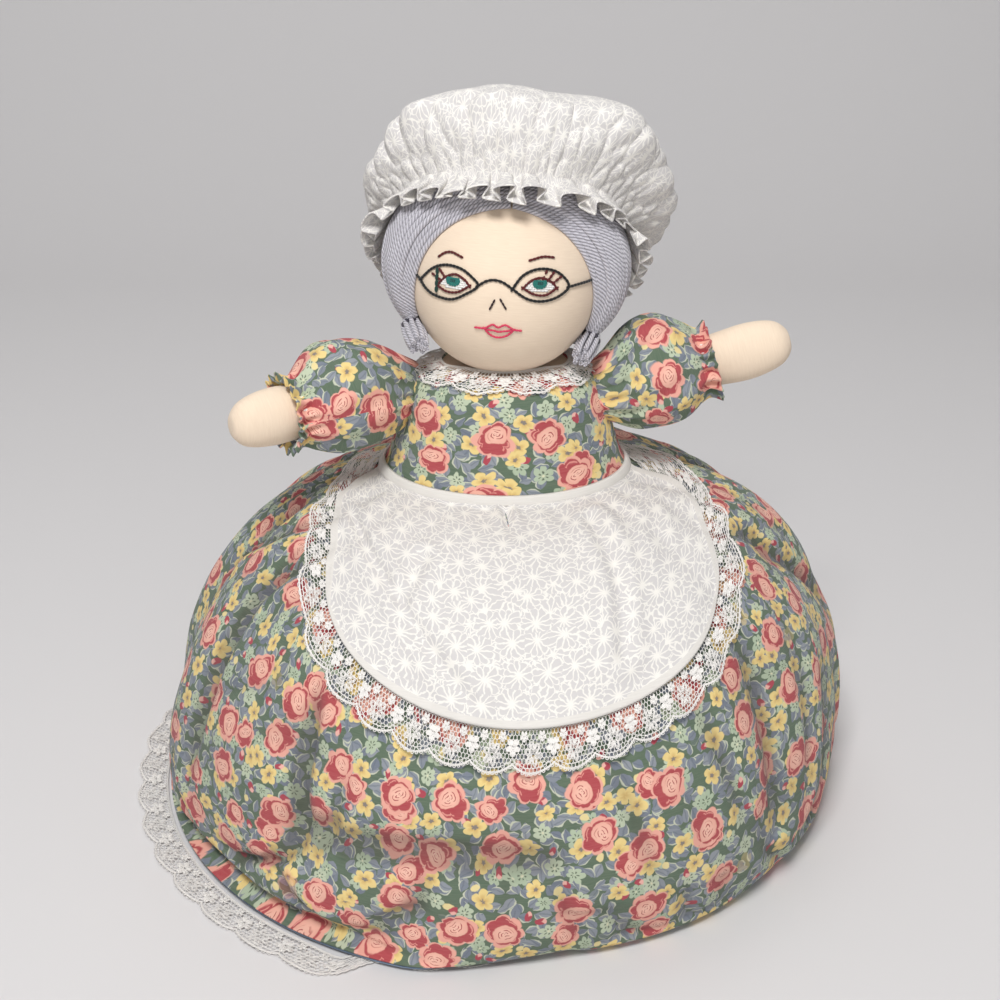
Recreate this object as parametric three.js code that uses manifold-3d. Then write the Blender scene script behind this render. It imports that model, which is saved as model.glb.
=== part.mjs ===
// Topsy-turvy rag doll: two stuffed half dolls joined at the waist, one of them hidden under the skirt.
// Millimetres, +Z up. The shown doll looks along -Y and its left hand is on +X.
// Each half is built about the middle of the waist and the whole is then set down on the floor.

import * as THREE from 'three';
import { mergeVertices } from 'three/addons/utils/BufferGeometryUtils.js';
import Module from 'manifold-3d';

const wasm = await Module();
wasm.setup();

// Clearances and cloth
const GAP = 0.5;
const CLOTH = 1.2;
const LACE_THICKNESS = 0.8;
const LAID_ON = 1.4;
const SEAT_GAP = 0.35;

// Stuffed body
const WAIST_HEIGHT = 193;
const BODY_HALF_WIDTH = 57.5;
const WAIST_HALF_WIDTH = 69;
const BODY_DEPTH_RATIO = 0.78;
const SHOULDER_RISE = 64;
const NECK_RADIUS = 15.5;
const NECK_LENGTH = 15;
const NECK_SLOPE = 4;
const WAIST_SEAM = 2;

// Heads and hair
const HEAD_RADIUS = 50;
const HEAD_DEPTH_RATIO = 0.94;
const HEAD_RISE = 110;
const HEAD_TILT_DEG = 9;
const HEAD_ROLL_DEG = 4.5;
const HAIRLINE_DEG = 60;
const NAPE_DEG = 212;
const HAIR_AT_PART = 4.5;
const HAIR_AT_SIDE = 11.5;
const HAIR_AT_BACK = 5.5;
const BOB_AT_SIDE = 6;
const TIE_RADIUS = 6.4;
const TIE_LENGTH = 3;
const TAIL_LENGTH = 21;
const TIE_SINK = 0.8;
const HAIR_END_SHARE = 0.92;

// Cap
const CAP_BACK_TILT_DEG = 46;
const CAP_EDGE_OFFSET = 16;
const CAP_BAND_OFFSET = 33;
const CAP_BAND_HALF_WIDTH = 63.2;
const CAP_BAND_RISE = 58.5;
const CAP_BAND_FALL = 54;
const CAP_PUFF_HALF_WIDTH = 84;
const CAP_PUFF_RISE = 84;
const CAP_PUFF_FALL = 64;
const CAP_DEPTH = 88;
const CAP_RUFFLE_FLARE = 8;
const CAP_RUFFLE_RISE = 5;
const CAP_FRONT_DIP = 11;
const CAP_GATHERS = 14;
const CAP_GATHER_DEPTH = 2.2;
const CAP_ELASTIC_WIDTH = 3;

// Arms and sleeves
const ARM_PIVOT_RISE = 48;
const ARM_PIVOT_REACH = BODY_HALF_WIDTH + 1;
const ARM_LENGTH = 100;
const WRIST_RADIUS = 14.2;
const HAND_RADIUS = 15.6;
const HAND_FLATNESS = 0.82;
const SLEEVE_HEAD_RADIUS = 22;
const SLEEVE_PUFF_RADIUS = 30;
const SLEEVE_PUFF_LIFT = 3.5;
const ARMHOLE_CLEARANCE = 2.2;
const ARM_ROOT_RADIUS = 5.6;
const SLEEVE_START = 4;
const CUFF_ELASTIC_WIDTH = 3.5;
const LEFT_ARM = { raised: 15, forward: -3, sleeve: 57 };
const RIGHT_ARM = { raised: 0, forward: 33, sleeve: 70 };
const LOWER_ARM = { raised: 28, forward: 0, sleeve: 64 };

// Skirt
const SKIRT_RADIUS = 197;
const SKIRT_BACK_EASE = 16;
const SKIRT_BULGE_HEIGHT = 38;
const SKIRT_FULLNESS = 1;
const SKIRT_FULLER_LEFT = 0.09;
const SKIRT_DROP = 1;
const SKIRT_FOLDS = 11;
const SKIRT_FOLD_DEPTH = 4;
// Creases that run down the skirt: column and turn of each end, then depth.
const SKIRT_CREASES = [
  [-5, 0.68, -5, 0.9, 9],
  [-5, 0.9, -7, 1.35, 7],
  [-9, 0.42, -9, 0.86, 6],
  [-12, 0.3, -12, 0.8, 7],
  [-2, 1.06, -3, 1.5, 5],
  [2, 1.06, 3, 1.5, 5],
  [5, 1.06, 5, 1.5, 4],
  [7, 0.62, 7, 0.95, 6],
  [11, 0.42, 13, 0.68, 8],
  [10, 0.8, 9, 1.3, 5],
  [16, 0.18, 16, 0.8, 7],
  [19, 0.24, 19, 0.95, 7],
  [22, 0.18, 22, 0.8, 7],
  [-22, 0.18, -22, 0.85, 7],
  [-19, 0.24, -19, 0.95, 7],
  [-16, 0.18, -16, 0.8, 7],
  [14, 0.9, 14, 1.5, 5],
  [18, 1, 18, 1.5, 5],
  [21, 0.9, 21, 1.5, 5],
  [24, 1, 24, 1.5, 5],
  [-24, 0.95, -24, 1.5, 5],
  [-21, 1, -21, 1.5, 5],
  [-17, 0.95, -17, 1.5, 5],
  [-14, 0.9, -14, 1.5, 5],
];
const CREASE_SPREAD = 5;
const CREASE_FADE = 0.14;
// Creases that run round the skirt: arc in degrees, turn, spread along the turn, then depth.
const SKIRT_CROSS_CREASES = [
  [[-13, 14, 12], 0.87, 0.07, 6],
  [[150, 16, 14], 1.06, 0.08, 5],
];
const HEM_FOLD_ARC = [-54, 26, 20];
const HEM_FOLD_DEPTH = 10;
const HEM_FOLD_TURN = 1.7;
const HEM_FOLD_SPREAD = 0.2;
const HEM_TUCK = 20;
const HEM_FLARE = 4;
const HEM_FLARE_ARC = [-56, 40, 30];
const LACE_SHOWN_ARC = [-68, 34, 22];
const HEM_FLARE_RISE = 6;
const HEM_FLAT = 0.5;
const HEM_LACE_WIDTH = 18;
const HEM_LACE_SLOPE = 2;
const LACE_TURNS_OUT = [0.22, 0.65];

// Apron
const APRON_LENGTH = 135;
const APRON_HALF_WIDTH = 110;
const APRON_TOP_HALF_WIDTH = 84;
const APRON_SWAY = 0.12;
const APRON_THICKNESS = 1;
const APRON_LACE_WIDTH = 21;
const APRON_START = 2;
const APRON_SIDE_SHARE = 0.55;
const WAISTBAND_HEIGHT = 5.4;
const COLLAR_WIDTH = 18;
const TIE_WIDTH = 8;
const TIE_TAIL_START = 14;
const TIE_TAIL_LENGTH = 105;
const TIE_TAIL_LIFT = 0.9;
const TIE_TAIL_APART = 6;
const TIE_TAIL_SPREAD = 0.14;
const BOW_LOOP_LENGTH = 34;
const BOW_GAP = 0.8;
const BOW_KNOT_SIZE = WAISTBAND_HEIGHT + 2;

// How finely the round pieces are divided
const BODY_SIDES = 20;
const BODY_ROWS = 6;
const HEAD_SIDES = 20;
const ARM_SIDES = 12;
const ARMHOLE_SIDES = 16;
const ARMHOLE_ROWS = 10;
const SLEEVE_SIDES = 14;
const CAP_SIDES = 3 * CAP_GATHERS;
const CAP_TURNS = [0, 1 / 12, 1 / 6, 0.25, 1 / 3, 0.45, 0.6, 0.75, 0.88, 1];
const HAIR_COLUMNS = 10;
const HAIR_ROWS = 8;
const SKIRT_SIDES = 52;
const APRON_COLUMNS = 16;
const APRON_ROWS = 8;
const APRON_SIDE_STEPS = 6;
const TIE_TAIL_ROWS = 9;
const BOW_LOOP_STEPS = 20;
const SKIRT_TURNS = [0, 0.16, 0.34, 0.52, 0.7, 0.87, 1.06, 1.3, 1.52, 1.7, 1.9, 2];

const RAD = Math.PI / 180;

const WHITE = 0xe4e0dc;
const LACE_WHITE = 0xece9e6;
const CALICO = 0x8d7f78;
const MUSLIN = 0xe9cda9;
const GREY_YARN = 0x8c8796;
const BROWN_YARN = 0x7a5638;
const DARK_THREAD = 0x3b3442;
const BLUE_COTTON = 0x8294aa;

const doll = new THREE.Group();
doll.name = 'topsy_turvy_doll';

// Shared steps

function addMesh(parent, name, geometry, color) {
  const material = new THREE.MeshStandardMaterial({ color, roughness: 0.95, metalness: 0 });
  const mesh = new THREE.Mesh(geometry, material);
  mesh.name = name;
  parent.add(mesh);
  return mesh;
}

// Welds a geometry into one closed skin, drops the slivers at its poles and turns its faces outward.
function closed(geometry) {
  geometry.deleteAttribute('normal');
  geometry.deleteAttribute('uv');
  const welded = mergeVertices(geometry, 1e-4);
  const place = welded.getAttribute('position');
  const index = welded.getIndex().array;
  const corner = (i) => new THREE.Vector3().fromBufferAttribute(place, i);
  const kept = [];
  let volume = 0;
  for (let i = 0; i < index.length; i += 3) {
    const [a, b, c] = [index[i], index[i + 1], index[i + 2]];
    if (a === b || b === c || c === a) {
      continue;
    }
    kept.push([a, b, c]);
    volume += corner(a).dot(corner(b).cross(corner(c)));
  }
  const faces = volume < 0 ? kept.map(([a, b, c]) => [a, c, b]) : kept;
  welded.setIndex(faces.flat());
  welded.computeVertexNormals();
  return welded;
}

// Turns a profile of radius and height about Z and narrows it front to back.
function revolve(profile, sides, depthRatio = 1) {
  const turned = new THREE.LatheGeometry(profile, sides);
  turned.rotateX(Math.PI / 2);
  turned.scale(1, depthRatio, 1);
  return closed(turned);
}

// Moves a profile towards the axis side by a distance, square to its run.
function inset(profile, distance) {
  return profile.map((point, i) => {
    const before = profile[Math.max(i - 1, 0)];
    const after = profile[Math.min(i + 1, profile.length - 1)];
    const run = after.clone().sub(before).normalize();
    const moved = new THREE.Vector2(point.x - run.y * distance, point.y + run.x * distance);
    moved.x = Math.max(moved.x, 0);
    return moved;
  });
}

// Joins an outer face and an inner face, sampled on one grid, into one closed piece of cloth.
// place(u, v, depth) gives a point, with depth 0 on the outer face and 1 on the inner face.
function clothBody(place, across, down, wraps) {
  const columns = wraps ? across : across + 1;
  const rows = down + 1;
  const positions = [];
  for (const depth of [0, 1]) {
    for (let j = 0; j < rows; j += 1) {
      for (let i = 0; i < columns; i += 1) {
        positions.push(...place(i / across, j / down, depth).toArray());
      }
    }
  }
  const at = (i, j, depth) => (depth * rows + j) * columns + (i % columns);
  const index = [];
  const quad = (a, b, c, d) => index.push(a, b, c, a, c, d);
  for (let i = 0; i < across; i += 1) {
    for (let j = 0; j < down; j += 1) {
      quad(at(i, j, 0), at(i, j + 1, 0), at(i + 1, j + 1, 0), at(i + 1, j, 0));
      quad(at(i, j, 1), at(i + 1, j, 1), at(i + 1, j + 1, 1), at(i, j + 1, 1));
    }
    quad(at(i, 0, 0), at(i + 1, 0, 0), at(i + 1, 0, 1), at(i, 0, 1));
    quad(at(i, down, 0), at(i, down, 1), at(i + 1, down, 1), at(i + 1, down, 0));
  }
  if (!wraps) {
    for (let j = 0; j < down; j += 1) {
      quad(at(0, j, 0), at(0, j, 1), at(0, j + 1, 1), at(0, j + 1, 0));
      quad(at(across, j, 0), at(across, j + 1, 0), at(across, j + 1, 1), at(across, j, 1));
    }
  }
  const geometry = new THREE.BufferGeometry();
  geometry.setAttribute('position', new THREE.Float32BufferAttribute(positions, 3));
  geometry.setIndex(index);
  return closed(geometry);
}

// Cuts closed shapes out of a closed shape.
function solidOf(geometry) {
  const place = new Float32Array(geometry.getAttribute('position').array);
  const faces = new Uint32Array(geometry.getIndex().array);
  return new wasm.Manifold(new wasm.Mesh({ numProp: 3, vertProperties: place, triVerts: faces }));
}

function cutAway(geometry, tools) {
  let solid = solidOf(geometry);
  for (const tool of tools) {
    solid = solid.subtract(solidOf(tool));
  }
  const mesh = solid.getMesh();
  const result = new THREE.BufferGeometry();
  result.setAttribute('position', new THREE.Float32BufferAttribute(mesh.vertProperties, 3));
  result.setIndex([...mesh.triVerts]);
  return closed(result);
}

// A point at an angle from the front, turning towards +X.
function polar(radius, angle, height) {
  return new THREE.Vector3(radius * Math.sin(angle), -radius * Math.cos(angle), height);
}

function ovalRadius(angle, halfWidth, halfDepth) {
  return 1 / Math.hypot(Math.sin(angle) / halfWidth, Math.cos(angle) / halfDepth);
}

// Stuffed body, neck and bodice

// Half of the dressed body from the waist up to the neckline, as radius and height.
const bodyCurve = new THREE.SplineCurve([
  new THREE.Vector2(WAIST_HALF_WIDTH, 0),
  new THREE.Vector2((WAIST_HALF_WIDTH + BODY_HALF_WIDTH) / 2, 0.2 * SHOULDER_RISE),
  new THREE.Vector2(BODY_HALF_WIDTH, 0.52 * SHOULDER_RISE),
  new THREE.Vector2(0.955 * BODY_HALF_WIDTH, 0.74 * SHOULDER_RISE),
  new THREE.Vector2(0.84 * BODY_HALF_WIDTH, 0.92 * SHOULDER_RISE),
  new THREE.Vector2(0.59 * BODY_HALF_WIDTH, SHOULDER_RISE),
]);
const bodyProfile = bodyCurve.getSpacedPoints(BODY_ROWS);
const neckSocket = NECK_RADIUS / BODY_DEPTH_RATIO + GAP;
const neckSeat = SHOULDER_RISE - NECK_LENGTH;

// The round head of a sleeve turns in an armhole of the bodice and a hollow of the body behind it,
// and the arm's root is seated at the bottom of that hollow.
const armholeRadius = SLEEVE_HEAD_RADIUS + ARMHOLE_CLEARANCE;
const facetDip = Math.cos(Math.PI / ARMHOLE_SIDES) * Math.cos(Math.PI / (2 * ARMHOLE_ROWS));
const rootReach = armholeRadius * facetDip - SEAT_GAP;

function armholes(levels) {
  const holes = [];
  for (const level of levels) {
    for (const side of [-1, 1]) {
      const ball = new THREE.SphereGeometry(armholeRadius, ARMHOLE_SIDES, ARMHOLE_ROWS);
      ball.translate(side * ARM_PIVOT_REACH, 0, level * ARM_PIVOT_RISE);
      holes.push(closed(ball));
    }
  }
  return holes;
}

// One stuffed cushion for both dolls, with a seat for a neck at each end.
function bodyGeometry() {
  const skin = inset(bodyProfile, CLOTH + GAP);
  const brim = new THREE.Vector2(neckSocket, skin[BODY_ROWS].y - NECK_SLOPE);
  const upper = [...skin, brim, new THREE.Vector2(neckSocket, neckSeat), new THREE.Vector2(0, neckSeat)];
  const below = upper.slice(1).map((point) => new THREE.Vector2(point.x, -point.y));
  const cushion = revolve([...below.reverse(), ...upper], BODY_SIDES, BODY_DEPTH_RATIO);
  return cutAway(cushion, armholes([-1, 1]));
}

// A short stuffed neck stands in the body's seat and carries the round underside of the head.
function neckGeometry() {
  const cup = HEAD_RADIUS + GAP;
  const foot = neckSeat + GAP;
  const profile = [new THREE.Vector2(0, foot), new THREE.Vector2(NECK_RADIUS, foot)];
  const steps = 4;
  for (let i = steps; i >= 0; i -= 1) {
    const radius = (NECK_RADIUS * i) / steps;
    profile.push(new THREE.Vector2(radius, HEAD_RISE - Math.sqrt(cup * cup - radius * radius)));
  }
  return revolve(profile, ARM_SIDES);
}

function bodiceGeometry() {
  const outer = bodyProfile.map((point) => point.clone());
  outer[0].y = WAIST_SEAM;
  const loop = [...outer, ...inset(outer, CLOTH).reverse(), outer[0].clone()];
  return cutAway(revolve(loop, BODY_SIDES, BODY_DEPTH_RATIO), armholes([1]));
}

// The lace collar lies on the shoulders, from the neckline outward.
function collarGeometry() {
  const [low, bend, neckline] = bodyProfile.slice(BODY_ROWS - 2);
  const rest = COLLAR_WIDTH - neckline.distanceTo(bend);
  const edge = bend.clone().lerp(low, rest / bend.distanceTo(low));
  const run = [edge, bend, neckline];
  const under = inset(run, -GAP);
  const over = inset(run, -GAP - LACE_THICKNESS).reverse();
  return revolve([...under, ...over, under[0].clone()], BODY_SIDES, BODY_DEPTH_RATIO);
}

// Heads

function headGeometry() {
  const ball = new THREE.SphereGeometry(HEAD_RADIUS, HEAD_SIDES, HEAD_SIDES / 2);
  ball.rotateX(Math.PI / 2);
  ball.scale(1, HEAD_DEPTH_RATIO, 1);
  return closed(ball);
}

// Hair runs from a centre part, which goes from the hairline over the crown to the nape,
// down to one gathering point below and behind each cheek.
const GATHER_POINT = new THREE.Vector3(0.86, -0.1, -0.5).normalize();

function hairDirection(along, down) {
  const angle = (HAIRLINE_DEG + (NAPE_DEG - HAIRLINE_DEG) * along) * RAD;
  const part = new THREE.Vector3(0, -Math.cos(angle), Math.sin(angle));
  const sweep = part.angleTo(GATHER_POINT);
  const partShare = Math.sin((1 - down) * sweep);
  const gatherShare = Math.sin(down * sweep);
  return part.multiplyScalar(partShare).addScaledVector(GATHER_POINT, gatherShare).normalize();
}

function hairThickness(along, down, atSide) {
  const front = 1 - THREE.MathUtils.smoothstep(along, 0.3, 0.62);
  const side = HAIR_AT_BACK + (atSide - HAIR_AT_BACK) * front;
  const edge = Math.min(1, Math.min(along, 1 - along) / 0.2);
  const rounded = 0.35 + 0.65 * Math.sqrt(1 - (1 - edge) * (1 - edge));
  return (HAIR_AT_PART + side * Math.sin(Math.PI * Math.pow(down, 1.15))) * rounded;
}

function hairGeometry(side, atSide) {
  const underside = HEAD_RADIUS + 2 * GAP;
  const partGap = GAP / 2;
  return clothBody((u, v, depth) => {
    const down = HAIR_END_SHARE * v;
    const away = depth === 1 ? 0 : hairThickness(u, down, atSide);
    const strand = hairDirection(u, down).multiplyScalar(underside + away);
    strand.x = Math.max(strand.x, 0) + partGap;
    strand.y *= HEAD_DEPTH_RATIO;
    strand.x *= side;
    return strand;
  }, HAIR_COLUMNS, HAIR_ROWS, false);
}

// A dark thread wraps each gathered end, and a short tail hangs forward along the jaw below it.
function addHairEnd(parent, prefix, side, word) {
  const end = new THREE.Group();
  const start = GATHER_POINT.clone().multiplyScalar(HEAD_RADIUS + TIE_RADIUS - TIE_SINK);
  const run = new THREE.Vector3(-0.28, -0.88, -0.38).normalize();
  start.x *= side;
  run.x *= side;
  end.position.copy(start);
  end.quaternion.setFromUnitVectors(new THREE.Vector3(0, 0, 1), run);
  parent.add(end);

  const tie = [
    new THREE.Vector2(0, 0),
    new THREE.Vector2(0.8 * TIE_RADIUS, 0),
    new THREE.Vector2(TIE_RADIUS, TIE_LENGTH / 2),
    new THREE.Vector2(0.8 * TIE_RADIUS, TIE_LENGTH),
    new THREE.Vector2(0, TIE_LENGTH),
  ];
  addMesh(end, `${prefix}_hair_tie_${word}`, revolve(tie, ARM_SIDES), DARK_THREAD);

  const tailStart = TIE_LENGTH + GAP;
  const tail = [
    new THREE.Vector2(0, tailStart),
    new THREE.Vector2(0.6 * TIE_RADIUS, tailStart),
    new THREE.Vector2(0.92 * TIE_RADIUS, tailStart + 0.35 * TAIL_LENGTH),
    new THREE.Vector2(0.7 * TIE_RADIUS, tailStart + 0.85 * TAIL_LENGTH),
    new THREE.Vector2(0.4 * TIE_RADIUS, tailStart + TAIL_LENGTH),
    new THREE.Vector2(0, tailStart + TAIL_LENGTH),
  ];
  addMesh(end, `${prefix}_hair_tail_${word}`, revolve(tail, ARM_SIDES), GREY_YARN);
}

// Cap: one round of cotton drawn in by an elastic, with a ruffle left outside it

const capAxis = new THREE.Vector3(0, Math.sin(CAP_BACK_TILT_DEG * RAD), Math.cos(CAP_BACK_TILT_DEG * RAD));
const capUp = new THREE.Vector3(0, -capAxis.z, capAxis.y);

// Half width, rise and distance along the cap's axis, from the ruffle's edge to the crown.
function capCurve(bandRise, puffRise) {
  const puffDepth = CAP_DEPTH - CAP_BAND_OFFSET;
  const puff = (share, along) => new THREE.Vector3(
    share * CAP_PUFF_HALF_WIDTH,
    share * puffRise,
    CAP_BAND_OFFSET + along * puffDepth,
  );
  return new THREE.CatmullRomCurve3([
    new THREE.Vector3(CAP_BAND_HALF_WIDTH + CAP_RUFFLE_FLARE, bandRise + CAP_RUFFLE_RISE, CAP_EDGE_OFFSET),
    new THREE.Vector3(CAP_BAND_HALF_WIDTH, bandRise, CAP_BAND_OFFSET),
    puff(0.93, 0.2),
    puff(1, 0.42),
    puff(0.8, 0.76),
    puff(0.42, 0.96),
    new THREE.Vector3(0, 0, CAP_DEPTH),
  ]);
}

const capFront = capCurve(CAP_BAND_RISE, CAP_PUFF_RISE);
const capNape = capCurve(CAP_BAND_FALL, CAP_PUFF_FALL);

// The ruffle and the elastic come lower over the forehead.
function capDip(angle) {
  return CAP_FRONT_DIP * Math.pow(Math.max(Math.cos(angle), 0), 4);
}

function capPoint(angle, t, inward) {
  const size = (Math.cos(angle) > 0 ? capFront : capNape).getPoint(t);
  const gather = CAP_GATHER_DEPTH * Math.cos(CAP_GATHERS * angle) * Math.pow(1 - t, 2);
  const swell = t < 1 ? gather - inward : 0;
  const sink = inward * THREE.MathUtils.smoothstep(t, 0.7, 1);
  const across = (size.x + swell) * Math.sin(angle);
  const up = (size.y + swell) * Math.cos(angle);
  const point = new THREE.Vector3(across, 0, 0).addScaledVector(capUp, up);
  const dip = capDip(angle) * (1 - THREE.MathUtils.smoothstep(t, 1 / 6, 0.45));
  return point.addScaledVector(capAxis, size.z - sink - dip);
}

function capGeometry() {
  const rows = CAP_TURNS.length - 1;
  return clothBody((u, v, depth) => {
    const turn = CAP_TURNS[Math.round(v * rows)];
    return capPoint(u * 2 * Math.PI, turn, depth * CLOTH);
  }, CAP_SIDES, rows, true);
}

function capElasticGeometry() {
  const reach = CLOTH + 0.5 * CAP_GATHER_DEPTH;
  return clothBody((u, v, depth) => {
    const angle = u * 2 * Math.PI;
    const inward = reach + depth * LACE_THICKNESS;
    const rise = Math.cos(angle) > 0 ? CAP_BAND_RISE : CAP_BAND_FALL;
    const across = (CAP_BAND_HALF_WIDTH - inward) * Math.sin(angle);
    const along = CAP_BAND_OFFSET + (v - 0.5) * CAP_ELASTIC_WIDTH - capDip(angle);
    const point = new THREE.Vector3(across, 0, 0).addScaledVector(capUp, (rise - inward) * Math.cos(angle));
    return point.addScaledVector(capAxis, along);
  }, CAP_SIDES, 1, true);
}

// Arms and puffed sleeves, along +Z of their own group

const armCurve = new THREE.SplineCurve([
  new THREE.Vector2(0.36 * WRIST_RADIUS, 0.03 * ARM_LENGTH),
  new THREE.Vector2(0.72 * WRIST_RADIUS, 0.13 * ARM_LENGTH),
  new THREE.Vector2(0.92 * WRIST_RADIUS, 0.3 * ARM_LENGTH),
  new THREE.Vector2(WRIST_RADIUS, 0.54 * ARM_LENGTH),
  new THREE.Vector2(HAND_RADIUS, 0.76 * ARM_LENGTH),
  new THREE.Vector2(0.82 * HAND_RADIUS, 0.92 * ARM_LENGTH),
  new THREE.Vector2(0.42 * HAND_RADIUS, 0.99 * ARM_LENGTH),
  new THREE.Vector2(0, ARM_LENGTH),
]);

function sleeveCurve(length) {
  return new THREE.SplineCurve([
    new THREE.Vector2(Math.sqrt(SLEEVE_HEAD_RADIUS ** 2 - SLEEVE_START ** 2), SLEEVE_START),
    new THREE.Vector2(0.9 * SLEEVE_PUFF_RADIUS, 0.22 * length),
    new THREE.Vector2(SLEEVE_PUFF_RADIUS, 0.45 * length),
    new THREE.Vector2(0.96 * SLEEVE_PUFF_RADIUS, 0.64 * length),
    new THREE.Vector2(0.76 * SLEEVE_PUFF_RADIUS, 0.8 * length),
    new THREE.Vector2(WRIST_RADIUS + 2 * CLOTH + 2 * GAP, 0.9 * length),
    new THREE.Vector2(WRIST_RADIUS + 4 * CLOTH + 2 * GAP, length),
  ]);
}

function armGeometry() {
  const rootSide = Math.sqrt(rootReach ** 2 - ARM_ROOT_RADIUS ** 2);
  const root = [new THREE.Vector2(0, -rootReach), new THREE.Vector2(ARM_ROOT_RADIUS, -rootSide)];
  const skin = [...root, ...armCurve.getSpacedPoints(9)];
  const arm = revolve(skin, ARM_SIDES);
  arm.scale(HAND_FLATNESS, 1, 1);
  return arm;
}

// The puff stands a little higher than the arm inside it.
function sleeveGeometry(length) {
  const outer = sleeveCurve(length).getSpacedPoints(8);
  const inner = inset(outer, CLOTH);
  const sleeve = revolve([...outer, ...inner.reverse(), outer[0].clone()], SLEEVE_SIDES);
  const place = sleeve.getAttribute('position');
  for (let i = 0; i < place.count; i += 1) {
    const share = THREE.MathUtils.clamp((place.getZ(i) - SLEEVE_START) / (0.85 * length), 0, 1);
    place.setY(i, place.getY(i) + SLEEVE_PUFF_LIFT * Math.sin(Math.PI * share));
  }
  return sleeve;
}

function cuffElasticGeometry(length) {
  const middle = 0.9 * length;
  const inside = WRIST_RADIUS + 2 * GAP;
  const low = middle - CUFF_ELASTIC_WIDTH / 2;
  const high = middle + CUFF_ELASTIC_WIDTH / 2;
  const section = [
    new THREE.Vector2(inside, low),
    new THREE.Vector2(inside + LACE_THICKNESS, low),
    new THREE.Vector2(inside + LACE_THICKNESS, high),
    new THREE.Vector2(inside, high),
    new THREE.Vector2(inside, low),
  ];
  return revolve(section, SLEEVE_SIDES);
}

function addArm(parent, prefix, side, word, pose, sleeveColor) {
  const raised = pose.raised * RAD;
  const forward = pose.forward * RAD;
  const along = new THREE.Vector3(
    side * Math.cos(raised) * Math.cos(forward),
    -Math.cos(raised) * Math.sin(forward),
    Math.sin(raised),
  );
  const up = new THREE.Vector3(0, 0, 1).addScaledVector(along, -along.z).normalize();
  const across = new THREE.Vector3().crossVectors(up, along);
  const arm = new THREE.Group();
  arm.quaternion.setFromRotationMatrix(new THREE.Matrix4().makeBasis(across, up, along));
  arm.position.set(side * ARM_PIVOT_REACH, 0, ARM_PIVOT_RISE);
  parent.add(arm);
  addMesh(arm, `${prefix}_arm_${word}`, armGeometry(), MUSLIN);
  addMesh(arm, `${prefix}_sleeve_${word}`, sleeveGeometry(pose.sleeve), sleeveColor);
  addMesh(arm, `${prefix}_cuff_elastic_${word}`, cuffElasticGeometry(pose.sleeve), WHITE);
}

// Skirt: a gathered bell that bulges near the floor and tucks its hem under, except at one side

const waistHalfWidth = bodyProfile[0].x + 2 * GAP;
const waistHalfDepth = bodyProfile[0].x * BODY_DEPTH_RATIO + 2 * GAP;

// 1 on an arc given by its middle, its half width and its fade in degrees, and 0 away from it.
function onArc(angle, [middle, half, fade]) {
  const turn = angle - middle * RAD;
  const off = Math.abs(Math.atan2(Math.sin(turn), Math.cos(turn))) / RAD;
  return 1 - THREE.MathUtils.smoothstep(off, half, half + fade);
}

// The hem stands clear of the floor where it lies out, to leave room for its lining and lace.
function hemRise(angle) {
  const flare = onArc(angle, HEM_FLARE_ARC);
  const clear = LACE_THICKNESS + 3 * GAP + HEM_FLAT;
  return Math.min(1, flare / 0.04) * clear + (HEM_FLARE_RISE - clear) * flare - HEM_FLAT;
}

// How far the big creases press the skirt in, and the fold above the hem where it lies out.
function creased(angle, turn) {
  let depth = 0;
  for (const [fromColumn, fromTurn, toColumn, toTurn, deep] of SKIRT_CREASES) {
    const share = THREE.MathUtils.clamp((turn - fromTurn) / (toTurn - fromTurn), 0, 1);
    const off = angle - ((fromColumn + (toColumn - fromColumn) * share) * 2 * Math.PI) / SKIRT_SIDES;
    const away = Math.abs(Math.atan2(Math.sin(off), Math.cos(off))) / (CREASE_SPREAD * RAD);
    const begun = THREE.MathUtils.smoothstep(turn, fromTurn - CREASE_FADE, fromTurn + CREASE_FADE / 4);
    const ended = THREE.MathUtils.smoothstep(turn, toTurn - CREASE_FADE / 4, toTurn + CREASE_FADE);
    depth += deep * begun * (1 - ended) * Math.exp(-away);
  }
  for (const [arc, middle, spread, deep] of SKIRT_CROSS_CREASES) {
    depth += deep * onArc(angle, arc) * Math.exp(-Math.abs(turn - middle) / spread);
  }
  const hemFold = Math.exp(-Math.pow((turn - HEM_FOLD_TURN) / HEM_FOLD_SPREAD, 2));
  return depth + HEM_FOLD_DEPTH * onArc(angle, HEM_FOLD_ARC) * hemFold;
}

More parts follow.
